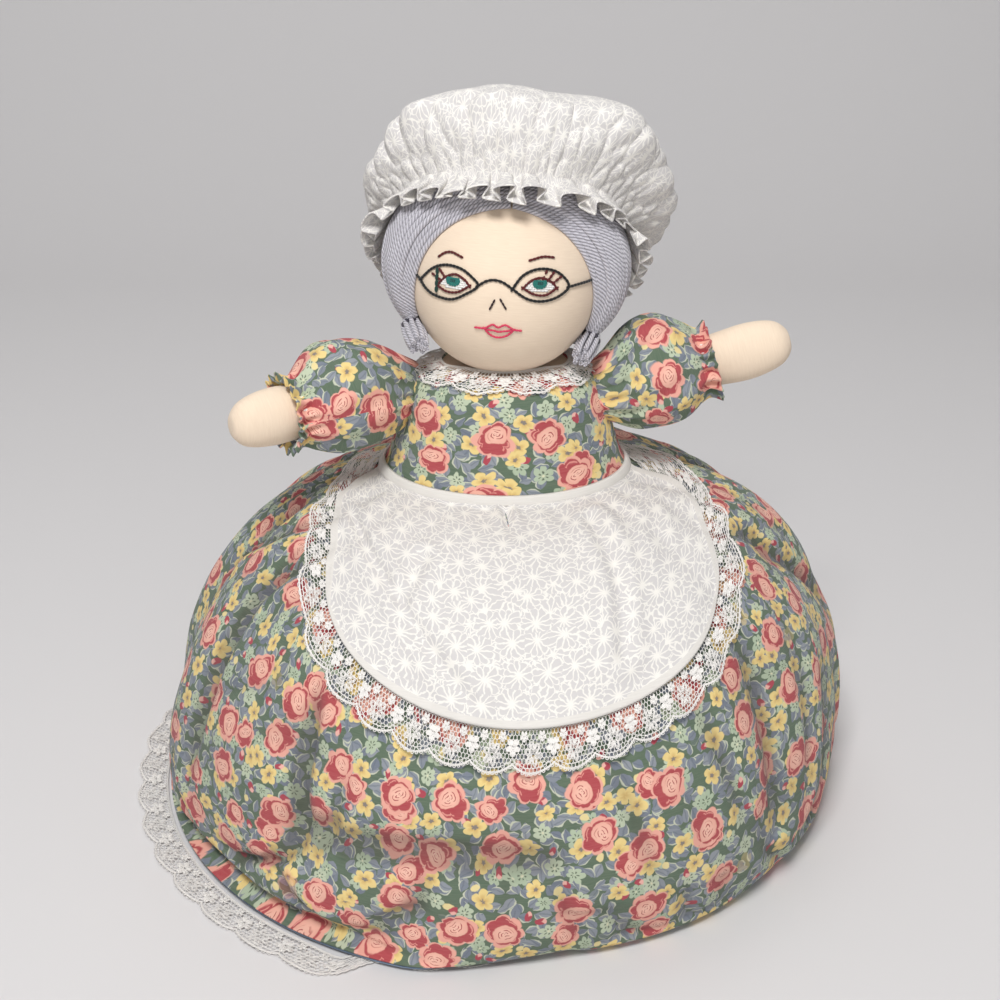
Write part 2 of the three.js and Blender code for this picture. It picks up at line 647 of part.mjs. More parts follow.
// turn is 0 at the waist, 1 at the widest place and 2 at the hem.
function skirtFace(angle, turn) {
  const waist = ovalRadius(angle, waistHalfWidth, waistHalfDepth);
  const widest = SKIRT_RADIUS - SKIRT_BACK_EASE * Math.pow(Math.max(-Math.cos(angle), 0), 2);
  const bulge = SKIRT_BULGE_HEIGHT - WAIST_HEIGHT;
  const swing = (turn * Math.PI) / 2;
  const wrapped = Math.atan2(Math.sin(angle), Math.cos(angle));
  const calm = 1 - 0.85 * Math.exp(-Math.pow(wrapped / 0.95, 4));
  const fold = 0.6 * Math.cos(SKIRT_FOLDS * angle + 0.6) + 0.4 * Math.cos((SKIRT_FOLDS - 4) * angle + 2.1);
  const folded = SKIRT_FOLD_DEPTH * fold * calm * turn * (2 - turn);
  const inward = creased(angle, turn);
  if (turn <= 1) {
    const fullness = SKIRT_FULLNESS - SKIRT_FULLER_LEFT * Math.sin(angle);
    const out = Math.pow(Math.sin(swing), fullness);
    const down = Math.pow(Math.max(Math.cos(swing), 0), fullness);
    const slope = Math.atan2((widest - waist) * Math.cos(swing), -bulge * Math.sin(swing));
    const radius = waist + (widest - waist) * out + folded - inward * Math.cos(slope);
    return polar(radius, angle, bulge + (-SKIRT_DROP - bulge) * down - inward * Math.sin(slope));
  }
  const flare = onArc(angle, HEM_FLARE_ARC);
  const tuck = HEM_TUCK * (1 - flare) - HEM_FLARE * flare;
  const rise = hemRise(angle);
  const height = rise + (SKIRT_BULGE_HEIGHT - rise) * (1 + Math.cos(swing));
  const radius = widest - tuck * (1 - Math.sin(swing)) + folded - inward;
  return polar(radius, angle, Math.max(height, 0) - WAIST_HEIGHT);
}

function skirtPoint(angle, turn, lift) {
  const step = 0.004;
  const from = Math.max(turn - step, 0);
  const to = Math.min(turn + step, 2);
  const around = skirtFace(angle + step, turn).sub(skirtFace(angle - step, turn));
  const down = skirtFace(angle, to).sub(skirtFace(angle, from));
  const normal = new THREE.Vector3().crossVectors(down, around).normalize();
  return skirtFace(angle, turn).addScaledVector(normal, lift);
}

// The outer cloth and the lining follow one surface at two depths.
function skirtLayer(outerLift, innerLift) {
  return clothBody((u, v, depth) => {
    const turn = SKIRT_TURNS[Math.round(v * (SKIRT_TURNS.length - 1))];
    return skirtPoint(u * 2 * Math.PI, turn, depth === 0 ? outerLift : innerLift);
  }, SKIRT_SIDES, SKIRT_TURNS.length - 1, true);
}

// The hem lace lies on the floor: outside the hem where it flares and inside where it is tucked.
function hemLaceGeometry() {
  return clothBody((u, v, depth) => {
    const angle = u * 2 * Math.PI;
    const shown = onArc(angle, LACE_SHOWN_ARC);
    const hem = skirtFace(angle, 2);
    const outside = THREE.MathUtils.smoothstep(shown, ...LACE_TURNS_OUT);
    const start = (GAP + LAID_ON) * outside - (HEM_LACE_WIDTH + GAP + LAID_ON) * (1 - outside);
    const radius = Math.hypot(hem.x, hem.y) + start + HEM_LACE_WIDTH * v;
    const slope = HEM_LACE_SLOPE * THREE.MathUtils.smoothstep(shown, LACE_TURNS_OUT[1], 1) * (1 - v);
    return polar(radius, angle, GAP + slope + (1 - depth) * LACE_THICKNESS - WAIST_HEIGHT);
  }, SKIRT_SIDES, 1, true);
}

// Apron: laid out flat as across and down, then set on the front of the skirt

const dropSteps = 80;
const dropLengths = [0];
for (let i = 1; i <= dropSteps; i += 1) {
  const step = skirtFace(0, (2 * i) / dropSteps).distanceTo(skirtFace(0, (2 * (i - 1)) / dropSteps));
  dropLengths.push(dropLengths[i - 1] + step);
}

function turnAt(length) {
  const next = Math.max(1, dropLengths.findIndex((reached) => reached >= length));
  const share = (length - dropLengths[next - 1]) / (dropLengths[next] - dropLengths[next - 1]);
  return (2 * (next - 1 + share)) / dropSteps;
}

function onSkirt(across, down, middle, lift) {
  const turn = turnAt(Math.max(down, 0));
  const ring = skirtFace(middle, turn);
  return skirtPoint(middle + across / Math.hypot(ring.x, ring.y), turn, lift);
}

function apronHalfWidth(down) {
  const spread = THREE.MathUtils.smoothstep(down, 0, 0.42 * APRON_LENGTH);
  return APRON_TOP_HALF_WIDTH + (APRON_HALF_WIDTH - APRON_TOP_HALF_WIDTH) * spread;
}

function apronFoot(across) {
  return APRON_LENGTH * (APRON_SIDE_SHARE + (1 - APRON_SIDE_SHARE) * Math.sqrt(1 - across * across));
}

function apronFlat(across, down) {
  return new THREE.Vector2(across * apronHalfWidth(down) + APRON_SWAY * down, down);
}

function apronGeometry() {
  return clothBody((u, v, depth) => {
    const across = Math.sin((2 * u - 1) * (Math.PI / 2));
    const down = APRON_START + (apronFoot(across) - APRON_START) * v;
    const flat = apronFlat(across, down);
    return onSkirt(flat.x, flat.y, 0, LAID_ON + (1 - depth) * APRON_THICKNESS);
  }, APRON_COLUMNS, APRON_ROWS, false);
}

// The apron's free edge from the waist down one side, round the foot and up the other side.
function apronEdge() {
  const edge = [];
  const sideFoot = APRON_LENGTH * APRON_SIDE_SHARE;
  for (let i = 0; i < APRON_SIDE_STEPS; i += 1) {
    edge.push(apronFlat(-1, 3 * APRON_START + ((sideFoot - 3 * APRON_START) * i) / APRON_SIDE_STEPS));
  }
  for (let i = 0; i <= APRON_COLUMNS; i += 1) {
    const across = -Math.cos((Math.PI * i) / APRON_COLUMNS);
    edge.push(apronFlat(across, apronFoot(across)));
  }
  for (let i = APRON_SIDE_STEPS - 1; i >= 0; i -= 1) {
    edge.push(apronFlat(1, 3 * APRON_START + ((sideFoot - 3 * APRON_START) * i) / APRON_SIDE_STEPS));
  }
  return edge;
}

function apronLaceGeometry() {
  const edge = apronEdge();
  const last = edge.length - 1;
  return clothBody((u, v, depth) => {
    const i = Math.round(u * last);
    const run = edge[Math.min(i + 1, last)].clone().sub(edge[Math.max(i - 1, 0)]).normalize();
    const away = 2 * GAP + APRON_LACE_WIDTH * v;
    const flat = new THREE.Vector2(edge[i].x - run.y * away, edge[i].y + run.x * away);
    return onSkirt(flat.x, flat.y, 0, LAID_ON + (1 - depth) * LACE_THICKNESS);
  }, last, 2, false);
}

// Waistband round the bodice, tied at the back in a bow

const bandLow = LAID_ON + APRON_THICKNESS + GAP - SKIRT_DROP;
const bandHigh = bandLow + WAISTBAND_HEIGHT;

// Outside of the bodice just above its waist seam.
function bodiceRadius(height) {
  const next = bodyProfile[1];
  const share = (height - WAIST_SEAM) / (next.y - WAIST_SEAM);
  return THREE.MathUtils.lerp(bodyProfile[0].x, next.x, share);
}

function waistbandGeometry() {
  const foot = bodiceRadius(bandLow) + GAP;
  const top = bodiceRadius(bandHigh) + GAP;
  const section = [
    new THREE.Vector2(foot, bandLow),
    new THREE.Vector2(foot + CLOTH, bandLow),
    new THREE.Vector2(top + CLOTH, bandHigh),
    new THREE.Vector2(top, bandHigh),
    new THREE.Vector2(foot, bandLow),
  ];
  return revolve(section, BODY_SIDES, BODY_DEPTH_RATIO);
}

function addBow() {
  const bandMiddle = (bandLow + bandHigh) / 2;
  const bandBack = (bodiceRadius(bandMiddle) + GAP + CLOTH) * BODY_DEPTH_RATIO;
  const bow = new THREE.Group();
  bow.position.set(0, bandBack + BOW_GAP, bandMiddle);
  doll.add(bow);

  const knotProfile = [
    new THREE.Vector2(0, -BOW_KNOT_SIZE / 2),
    new THREE.Vector2(0.35 * BOW_KNOT_SIZE, -BOW_KNOT_SIZE / 2),
    new THREE.Vector2(BOW_KNOT_SIZE / 2, 0),
    new THREE.Vector2(0.35 * BOW_KNOT_SIZE, BOW_KNOT_SIZE / 2),
    new THREE.Vector2(0, BOW_KNOT_SIZE / 2),
  ];
  const knot = addMesh(bow, 'apron_bow_knot', revolve(knotProfile, ARM_SIDES), WHITE);
  knot.position.y = BOW_KNOT_SIZE / 2;

  for (const [side, word] of [[1, 'left'], [-1, 'right']]) {
    const outline = new THREE.CatmullRomCurve3([
      new THREE.Vector3(side * (BOW_KNOT_SIZE / 2 + GAP), 0, 0),
      new THREE.Vector3(side * 0.6 * BOW_LOOP_LENGTH, 5.5, 0),
      new THREE.Vector3(side * BOW_LOOP_LENGTH, 2.5, 0),
      new THREE.Vector3(side * 0.6 * BOW_LOOP_LENGTH, -1.5, 0),
    ], true);
    const loop = clothBody((u, v, depth) => {
      const point = outline.getPoint(u);
      const run = outline.getTangent(u);
      const square = new THREE.Vector3(run.y, -run.x, 0).normalize();
      point.addScaledVector(square, (depth - 0.5) * LACE_THICKNESS);
      point.z += (0.5 - v) * TIE_WIDTH;
      return point;
    }, BOW_LOOP_STEPS, 1, true);
    const mesh = addMesh(bow, `apron_bow_loop_${word}`, loop, WHITE);
    mesh.position.y = BOW_KNOT_SIZE / 2;
  }

  for (const [side, word] of [[1, 'left'], [-1, 'right']]) {
    const tail = clothBody((u, v, depth) => {
      const down = TIE_TAIL_START + (TIE_TAIL_LENGTH - TIE_TAIL_START) * v;
      const across = side * (TIE_TAIL_APART + TIE_TAIL_SPREAD * down) + (u - 0.5) * TIE_WIDTH;
      return onSkirt(across, down, Math.PI, TIE_TAIL_LIFT + (1 - depth) * LACE_THICKNESS);
    }, 1, TIE_TAIL_ROWS, false);
    addMesh(doll, `apron_tie_tail_${word}`, tail, WHITE);
  }
}

// Assembly

addMesh(doll, 'body', bodyGeometry(), MUSLIN);

function addHalf(prefix, colors, flip) {
  const half = new THREE.Group();
  half.rotation.y = flip ? Math.PI : 0;
  doll.add(half);
  addMesh(half, `${prefix}_neck`, neckGeometry(), MUSLIN);
  addMesh(half, `${prefix}_bodice`, bodiceGeometry(), colors.cloth);

  const head = new THREE.Group();
  head.position.z = HEAD_RISE;
  half.add(head);
  addMesh(head, `${prefix}_head`, headGeometry(), MUSLIN);
  addMesh(head, `${prefix}_hair_left`, hairGeometry(1, colors.hairAtSide), colors.yarn);
  addMesh(head, `${prefix}_hair_right`, hairGeometry(-1, colors.hairAtSide), colors.yarn);
  return { half, head };
}

const upper = addHalf('upper', { cloth: CALICO, yarn: GREY_YARN, hairAtSide: HAIR_AT_SIDE }, false);
upper.head.rotation.set(-HEAD_TILT_DEG * RAD, HEAD_ROLL_DEG * RAD, 0);
addMesh(upper.half, 'collar_lace', collarGeometry(), LACE_WHITE);
addHairEnd(upper.head, 'upper', 1, 'left');
addHairEnd(upper.head, 'upper', -1, 'right');
addMesh(upper.head, 'cap', capGeometry(), WHITE);
addMesh(upper.head, 'cap_elastic', capElasticGeometry(), WHITE);
addArm(upper.half, 'upper', 1, 'left', LEFT_ARM, CALICO);
addArm(upper.half, 'upper', -1, 'right', RIGHT_ARM, CALICO);

const lower = addHalf('lower', { cloth: BLUE_COTTON, yarn: BROWN_YARN, hairAtSide: BOB_AT_SIDE }, true);
addArm(lower.half, 'lower', 1, 'left', LOWER_ARM, BLUE_COTTON);
addArm(lower.half, 'lower', -1, 'right', LOWER_ARM, BLUE_COTTON);

addMesh(doll, 'skirt', skirtLayer(0, -CLOTH), CALICO);
addMesh(doll, 'skirt_lining', skirtLayer(-CLOTH - GAP, -2 * CLOTH - GAP), BLUE_COTTON);
addMesh(doll, 'hem_lace', hemLaceGeometry(), LACE_WHITE);
addMesh(doll, 'apron', apronGeometry(), WHITE);
addMesh(doll, 'apron_lace', apronLaceGeometry(), LACE_WHITE);
addMesh(doll, 'apron_waistband', waistbandGeometry(), WHITE);
addBow();

// Set on the floor, with the middle of its footprint box at the origin
doll.updateMatrixWorld(true);
const box = new THREE.Box3().setFromObject(doll, true);
doll.position.set(-(box.min.x + box.max.x) / 2, -(box.min.y + box.max.y) / 2, -box.min.z);
doll.updateMatrixWorld(true);

export default doll;
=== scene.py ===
import math

import bpy
import numpy as np
from mathutils import Matrix, Vector


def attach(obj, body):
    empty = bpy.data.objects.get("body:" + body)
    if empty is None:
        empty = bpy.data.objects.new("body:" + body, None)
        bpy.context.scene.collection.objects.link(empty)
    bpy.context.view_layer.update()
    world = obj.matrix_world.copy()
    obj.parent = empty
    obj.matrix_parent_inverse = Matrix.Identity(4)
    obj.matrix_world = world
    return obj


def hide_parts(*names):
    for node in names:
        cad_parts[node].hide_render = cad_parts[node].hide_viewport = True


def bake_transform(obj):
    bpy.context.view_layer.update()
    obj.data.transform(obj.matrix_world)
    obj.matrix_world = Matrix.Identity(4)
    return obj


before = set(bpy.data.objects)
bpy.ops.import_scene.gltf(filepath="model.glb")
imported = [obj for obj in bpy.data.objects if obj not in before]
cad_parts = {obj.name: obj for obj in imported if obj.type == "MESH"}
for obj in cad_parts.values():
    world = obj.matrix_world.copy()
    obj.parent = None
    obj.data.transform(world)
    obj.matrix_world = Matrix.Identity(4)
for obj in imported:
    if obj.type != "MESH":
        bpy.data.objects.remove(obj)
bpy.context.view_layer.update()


# Stuffed body
# One firm cushion of cream cotton is shared by both dolls, and is closed by hand at each end.
# A short neck of the same cotton stands in each end and carries a head.

WAIST = np.array((0.0110161, 0.0076515, 0.193))
BODY_DEPTH = 0.78
BODY_LINE = ((69, 0), (63.25, 12.8), (57.5, 33.28), (54.91, 47.36), (48.3, 58.88), (33.93, 64))


def from_waist(points):
    """Millimetres from the middle of the waist, as metres in the shared frame."""
    return np.asarray(points, float) * 0.001 + WAIST


def below_waist(points):
    """The same place on the doll that hangs below the waist."""
    return from_waist(np.asarray(points, float) * (-1, 1, -1))


def smooth_line(points, share):
    """Points on a smooth line through the given ones, at shares from 0 to 1."""
    points = np.asarray(points, float)
    last = len(points) - 1
    place = np.clip(np.asarray(share, float) * last, 0, last)
    start = np.minimum(place.astype(int), last - 1)
    part = (place - start)[..., None]
    before, here = points[np.maximum(start - 1, 0)], points[start]
    there, after = points[start + 1], points[np.minimum(start + 2, last)]
    leave, arrive = (there - before) / 2, (after - here) / 2
    cubic = 2 * here - 2 * there + leave + arrive
    square = 3 * there - 3 * here - 2 * leave - arrive
    return cubic * part**3 + square * part**2 + leave * part + here


def as_points(*parts):
    """Coordinates side by side on a last axis."""
    return np.stack(np.broadcast_arrays(*parts), axis=-1)


def shares(count):
    """Even steps from 0 to 1."""
    return np.linspace(0, 1, count)


def smooth_step(value, start, end):
    share = np.clip((value - start) / (end - start), 0, 1)
    return share * share * (3 - 2 * share)


def run_length(points):
    """Distance along a line of points, from its start to each of them."""
    steps = np.linalg.norm(np.diff(points, axis=0), axis=1)
    return np.concatenate(([0], np.cumsum(steps)))


def linked(name, data):
    """A new object in the scene."""
    obj = bpy.data.objects.new(name, data)
    bpy.context.scene.collection.objects.link(obj)
    return obj


def surface(name, points, uv, wraps=False):
    """A smooth mesh over rows and columns of points. A UV of 1 is 100 mm of flat cloth."""
    rows, columns = points.shape[:2]
    across = columns if wraps else columns - 1
    row, column = np.meshgrid(np.arange(rows - 1), np.arange(across), indexing="ij")
    right = (column + 1) % columns
    corners = (row * columns + column, row * columns + right,
               (row + 1) * columns + right, (row + 1) * columns + column)
    if uv.ndim == 3:
        uv = np.stack((uv[row, column], uv[row, column + 1],
                       uv[row + 1, column + 1], uv[row + 1, column]), axis=2)
    mesh = bpy.data.meshes.new(name)
    mesh.from_pydata(points.reshape(-1, 3).tolist(), [], np.stack(corners, -1).reshape(-1, 4).tolist())
    layer = mesh.uv_layers.new(name="UVMap")
    layer.data.foreach_set("uv", uv.reshape(-1).astype(np.float32))
    mesh.shade_smooth()
    return linked(name, mesh)


def made_plain(obj):
    """Turns an object's modifiers into its own mesh."""
    graph = bpy.context.evaluated_depsgraph_get()
    plain = bpy.data.meshes.new_from_object(obj.evaluated_get(graph), preserve_all_data_layers=True,
                                            depsgraph=graph)
    obj.modifiers.clear()
    obj.data = plain
    return obj


def thickened(obj, millimetres):
    """Gives a sheet its thickness, inward from the face it was drawn on."""
    solidify = obj.modifiers.new("thickness", "SOLIDIFY")
    solidify.thickness = millimetres * 0.001
    solidify.offset = -1
    return made_plain(obj)


def closed_at_poles(obj):
    """Joins the points that meet at a pole, so that a stuffed piece is one closed skin."""
    weld = obj.modifiers.new("weld", "WELD")
    weld.merge_threshold = 1e-5
    return made_plain(obj)


def around(count):
    """Angles round a piece, from its front towards the shown doll's left."""
    return np.linspace(0, 2 * np.pi, count, endpoint=False)


def round_points(radius, angle, height, depth=1):
    """Points round an upright axis, narrowed front to back by depth."""
    return as_points(radius * np.sin(angle), -depth * radius * np.cos(angle), height)


def flat_grid(across, along):
    """The UV of rows and columns that lie at these places on the flat cloth."""
    return np.stack(np.meshgrid(across, along), axis=-1)


def turned(name, profile, place, depth, sides):
    """A round piece from radius and height, narrowed front to back by depth."""
    profile = np.asarray(profile, float)
    points = round_points(profile[:, :1], around(sides), profile[:, 1:], depth)
    turns = np.linspace(0, 2 * np.pi, sides + 1)
    uv = flat_grid(turns * np.max(profile[:, 0]) / 100, run_length(profile) / 100)
    return closed_at_poles(surface(name, place(points), uv, wraps=True))


def dressed(obj, body, node=None, finish=None):
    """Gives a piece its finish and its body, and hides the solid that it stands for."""
    if finish:
        obj.data.materials.append(finish)
    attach(obj, body)
    if node:
        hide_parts(node)


def srgb(red, green, blue):
    """A colour as it looks on a screen, from 0 to 255, as the shader's own colour."""
    parts = [value / 255 for value in (red, green, blue)]
    return (*[p / 12.92 if p <= 0.04045 else ((p + 0.055) / 1.055) ** 2.4 for p in parts], 1)


class Field:
    """A value that changes over a surface. A sum with it becomes math nodes in its own tree."""

    def __init__(self, socket):
        self.socket = socket
        self.tree = socket.id_data

    def __add__(self, other):
        return calc("ADD", self, other)

    def __sub__(self, other):
        return calc("SUBTRACT", self, other)

    def __rsub__(self, other):
        return calc("SUBTRACT", other, self)

    def __mul__(self, other):
        return calc("MULTIPLY", self, other)

    def __truediv__(self, other):
        return calc("DIVIDE", self, other)

    def __abs__(self):
        return calc("ABSOLUTE", self)


def feed(node, inputs):
    """Sets a node's inputs, each to a plain value or to a field."""
    for key, value in inputs.items():
        if isinstance(value, Field):
            value.tree.links.new(value.socket, node.inputs[key])
        else:
            node.inputs[key].default_value = value


def fields(node):
    """What a node gives, by name."""
    return {socket.name: Field(socket) for socket in node.outputs}


def add_node(tree, kind, inputs, output=0, **settings):
    """A node with its settings and inputs, as one of the fields it gives, or all of them for None."""
    node = tree.nodes.new(kind)
    for key, value in settings.items():
        setattr(node, key, value)
    feed(node, inputs)
    return fields(node) if output is None else Field(node.outputs[output])


def calc(operation, *values, kind="Math"):
    tree = next(value.tree for value in values if isinstance(value, Field))
    return add_node(tree, "ShaderNode" + kind, dict(enumerate(values)), operation=operation)


def scaled(vector, amount):
    return add_node(vector.tree, "ShaderNodeVectorMath", {0: vector, "Scale": amount}, operation="SCALE")


def noise(place, scale, detail, output=0, **settings):
    return add_node(place.tree, "ShaderNodeTexNoise", {"Vector": place, "Scale": scale, "Detail": detail},
                    output, **settings)


def blended(share, first, second):
    return add_node(share.tree, "ShaderNodeMix", {0: share, 6: first, 7: second}, 2, data_type="RGBA")


def under(value, limit, soft):
    """1 where a value is below a limit and 0 above it, with a soft edge."""
    over = value - limit
    return add_node(over.tree, "ShaderNodeMapRange", {0: over, 1: -soft, 2: soft, 3: 1.0, 4: 0.0})


def new_tree(name, kind, inputs, outputs):
    """An empty node tree with named sockets, what it is given, and its output node."""
    tree = bpy.data.node_groups.new(name, kind + "NodeTree")
    for way, sockets in (("INPUT", inputs), ("OUTPUT", outputs)):
        for label, value in sockets.items():
            tree.interface.new_socket(label, in_out=way, socket_type="NodeSocket" + value)
    return tree, fields(tree.nodes.new("NodeGroupInput")), tree.nodes.new("NodeGroupOutput")


def new_finish(name, roughness, sheen=0.0):
    """A material with its shader, and the place on the flat cloth in millimetres."""
    material = bpy.data.materials.new(name)
    material.use_nodes = True
    shader = material.node_tree.nodes["Principled BSDF"]
    feed(shader, {"Roughness": roughness, "Specular IOR Level": 0.2,
                  "Sheen Weight": sheen, "Sheen Roughness": 0.6})
    uv = add_node(material.node_tree, "ShaderNodeUVMap", {}, uv_map="UVMap")
    return material, shader, scaled(uv, 100.0)


def coloured(shader, colour, height, strength, distance):
    """Feeds a colour and the bumps of a height to a shader."""
    normal = add_node(colour.tree, "ShaderNodeBump",
                      {"Height": height, "Strength": strength, "Distance": distance})
    feed(shader, {"Base Color": colour, "Normal": normal})


# Plain weave, as a height and as the slow thick and thin of its threads.
weave, given, result = new_tree("plain_weave", "Shader", {"Cloth": "Vector", "Threads per mm": "Float"},
                                {"Height": "Float", "Slub": "Float"})
spread = scaled(given["Cloth"], given["Threads per mm"])
spread = add_node(weave, "ShaderNodeSeparateXYZ", {0: spread}, None)
warp = calc("SINE", spread["X"] * math.pi)
weft = calc("SINE", spread["Y"] * math.pi)
over = under(warp * weft, 0.0, 0.2)
raised = add_node(weave, "ShaderNodeMix", {0: over, 2: abs(warp), 3: abs(weft)})
long_way = calc("MULTIPLY", given["Cloth"], (0.12, 1.4, 1.0), kind="VectorMath")
feed(result, {"Height": raised, "Slub": noise(long_way, scale=1.0, detail=3.0)})


def woven(name, roughness, sheen, threads_per_mm):
    """The material of a woven cloth, its shader, the place on the flat cloth, and its threads."""
    material, shader, cloth = new_finish(name, roughness, sheen)
    threads = add_node(cloth.tree, "ShaderNodeGroup", {"Cloth": cloth, "Threads per mm": threads_per_mm},
                       None, node_tree=weave)
    return material, shader, cloth, threads


def cotton(name, first, second, roughness, sheen, threads_per_mm, strength, distance):
    """A cotton of one colour, with the two tones that its threads run between."""
    material, shader, cloth, threads = woven(name, roughness, sheen, threads_per_mm)
    coloured(shader, blended(threads["Slub"], first, second), threads["Height"], strength, distance)
    return material


muslin = cotton("muslin", srgb(226, 204, 180), srgb(240, 221, 198), roughness=0.9, sheen=0.15,
                threads_per_mm=2.0, strength=0.35, distance=0.0002)

body_line = smooth_line(BODY_LINE, shares(24)) - (2.2, 0)
body_half = np.concatenate((body_line, ((22, 62.5), (10, 62), (0, 62))))
body_skin = np.concatenate((body_half[::-1] * (1, -1), body_half[1:]))
cushion = turned("body_cushion", body_skin, from_waist, depth=BODY_DEPTH, sides=96)
dressed(cushion, "torso_and_skirt", "body", muslin)

neck_skin = smooth_line(((0, 50), (14.5, 50.2), (15.3, 55), (14.6, 60), (15.2, 62.2), (8, 61), (0, 60.4)),
                        shares(40))
for half, place in (("upper", from_waist), ("lower", below_waist)):
    neck = turned(half + "_neck_stuffed", neck_skin, place, depth=1, sides=64)
    dressed(neck, half + "_neck", half + "_neck", muslin)


# Bodices
# The shown bodice is flowered calico and the hidden one plain blue-grey cotton, each a close tube
# with shoulder seams, sewn to the skirt at the waist and to the sleeves at the armholes.

# Places a motif in each cell of a loose grid, turned its own way, and gives its own coordinates.
scatter, given, result = new_tree(
    "scattered_motif", "Shader", {"Cloth": "Vector", "Spacing": "Float", "Shift": "Vector", "Stray": "Float"},
    dict.fromkeys(("X", "Y", "Radius", "Angle", "Chance", "Shade"), "Float"))
moved = calc("ADD", given["Cloth"], given["Shift"], kind="VectorMath")
cells = {"Vector": moved, "Scale": calc("DIVIDE", 1.0, given["Spacing"]), "Randomness": given["Stray"]}
cells = add_node(scatter, "ShaderNodeTexVoronoi", cells, None, voronoi_dimensions="2D")
lot = add_node(scatter, "ShaderNodeSeparateColor", {0: cells["Color"]}, None)
local = add_node(scatter, "ShaderNodeVectorRotate",
                 {"Vector": calc("SUBTRACT", moved, cells["Position"], kind="VectorMath"),
                  "Angle": lot["Red"] * (2 * math.pi)}, rotation_type="Z_AXIS")
spot = add_node(scatter, "ShaderNodeSeparateXYZ", {0: local}, None)
reach = add_node(scatter, "ShaderNodeVectorMath", {0: local}, 1, operation="LENGTH")
feed(result, {"X": spot["X"], "Y": spot["Y"], "Radius": reach,
              "Angle": calc("ARCTAN2", spot["Y"], spot["X"]), "Chance": lot["Green"], "Shade": lot["Blue"]})


def scattered(cloth, spacing, shift, stray):
    """Motifs scattered over a cloth, as the coordinates of the nearest one."""
    inputs = {"Cloth": cloth, "Spacing": spacing, "Shift": shift, "Stray": stray}
    return add_node(cloth.tree, "ShaderNodeGroup", inputs, None, node_tree=scatter)


def from_middle(x, y):
    return calc("SQRT", x * x + y * y)


def petals(motif, count, size, depth):
    """How far out a place lies on a flower of round petals: under 1 is on it."""
    lobe = abs(calc("COSINE", motif["Angle"] * (count / 2)))
    return motif["Radius"] / (calc("SQRT", lobe) * (depth * size) + (1 - depth) * size)


def drawn_by_hand(cloth, scale, amount):
    """Shifts the cloth's coordinates a little here and there, so that no two motifs are alike."""
    loose = noise(cloth, scale, detail=1.0, output="Color", noise_dimensions="2D")
    shake = scaled(calc("SUBTRACT", loose, (0.5, 0.5, 0.5), kind="VectorMath"), amount)
    return calc("ADD", cloth, shake, kind="VectorMath")


calico, shader, cloth, threads = woven("calico", roughness=0.88, sheen=0.1, threads_per_mm=2.6)
drawn = drawn_by_hand(cloth, scale=0.07, amount=5.0)
drawn = drawn_by_hand(drawn, scale=0.4, amount=0.9)
print_colour = blended(threads["Slub"], srgb(74, 96, 78), srgb(92, 112, 92))

# Leaves, each with a pale edge on one side
for spacing, shift, long, wide in ((7.6, (3.1, 7.7, 0), 3.6, 2.3), (8.2, (41.0, 13.0, 0), 3.8, 2.4),
                                   (8.8, (13.0, 71.0, 0), 3.4, 2.2)):
    leaf = scattered(drawn, spacing, shift, stray=0.6)
    along = leaf["X"] / long
    half = (1.0 - along * along) * wide
    side = abs(leaf["Y"])
    inside = under(side, half, 0.2) * under(leaf["Chance"], 0.7, 0.01)
    rim = inside * under(half * 0.68, leaf["Y"], 0.2)
    blue = blended(leaf["Shade"], srgb(106, 116, 132), srgb(142, 148, 156))
    blue = blended(under(side, 0.3, 0.2) * 0.55, blue, srgb(88, 102, 116))
    print_colour = blended(inside, print_colour, blue)
    print_colour = blended(rim, print_colour, srgb(196, 200, 178))

# Pale sage flowers with a ring of dark specks
for spacing, shift, size, kept in ((19.0, (17.0, 5.0, 0), 4.9, 0.75), (24.0, (67.0, 45.0, 0), 4.6, 0.7)):
    sage = scattered(drawn, spacing, shift, stray=0.75)
    out = petals(sage, count=6.0, size=size, depth=0.5)
    shown = under(out, 1.0, 0.05) * under(sage["Chance"], kept, 0.01)
    ring = under(abs(out - 0.36), 0.12, 0.05)
    dotted = under(0.3, calc("COSINE", sage["Angle"] * 6.0), 0.2)
    petal = blended(sage["Shade"], srgb(168, 184, 158), srgb(190, 200, 174))
    petal = blended(ring * dotted, petal, srgb(92, 106, 88))
    petal = blended(under(out, 0.16, 0.05), petal, srgb(214, 212, 180))
    print_colour = blended(shown, print_colour, petal)

# Cream dots and small buds
dot = scattered(drawn, spacing=27.0, shift=(71.0, 23.0, 0), stray=0.9)
print_colour = blended(under(dot["Radius"], 2.1, 0.2), print_colour, srgb(226, 208, 150))
bud = scattered(drawn, spacing=24.0, shift=(9.0, 57.0, 0), stray=0.9)
out = from_middle(bud["X"] / 2.9, bud["Y"] / 1.8)
tip = under(bud["X"], abs(bud["Y"]), 0.4)
petal = blended(tip, srgb(234, 176, 164), srgb(170, 54, 74))
print_colour = blended(under(out, 1.0, 0.08), print_colour, petal)

# Yellow flowers with grey middles
for spacing, shift, size, kept in ((21.0, (29.0, 37.0, 0), 5.7, 0.85), (29.0, (51.0, 91.0, 0), 5.0, 0.7)):
    yellow = scattered(drawn, spacing, shift, stray=0.7)
    out = petals(yellow, count=5.0, size=size, depth=0.5)
    shown = under(out, 1.0, 0.04) * under(yellow["Chance"], kept, 0.01)
    petal = blended(under(out, 0.42, 0.25), srgb(230, 204, 134), srgb(206, 168, 98))
    petal = blended(under(out, 0.25, 0.05), petal, srgb(128, 120, 114))
    print_colour = blended(shown, print_colour, petal)

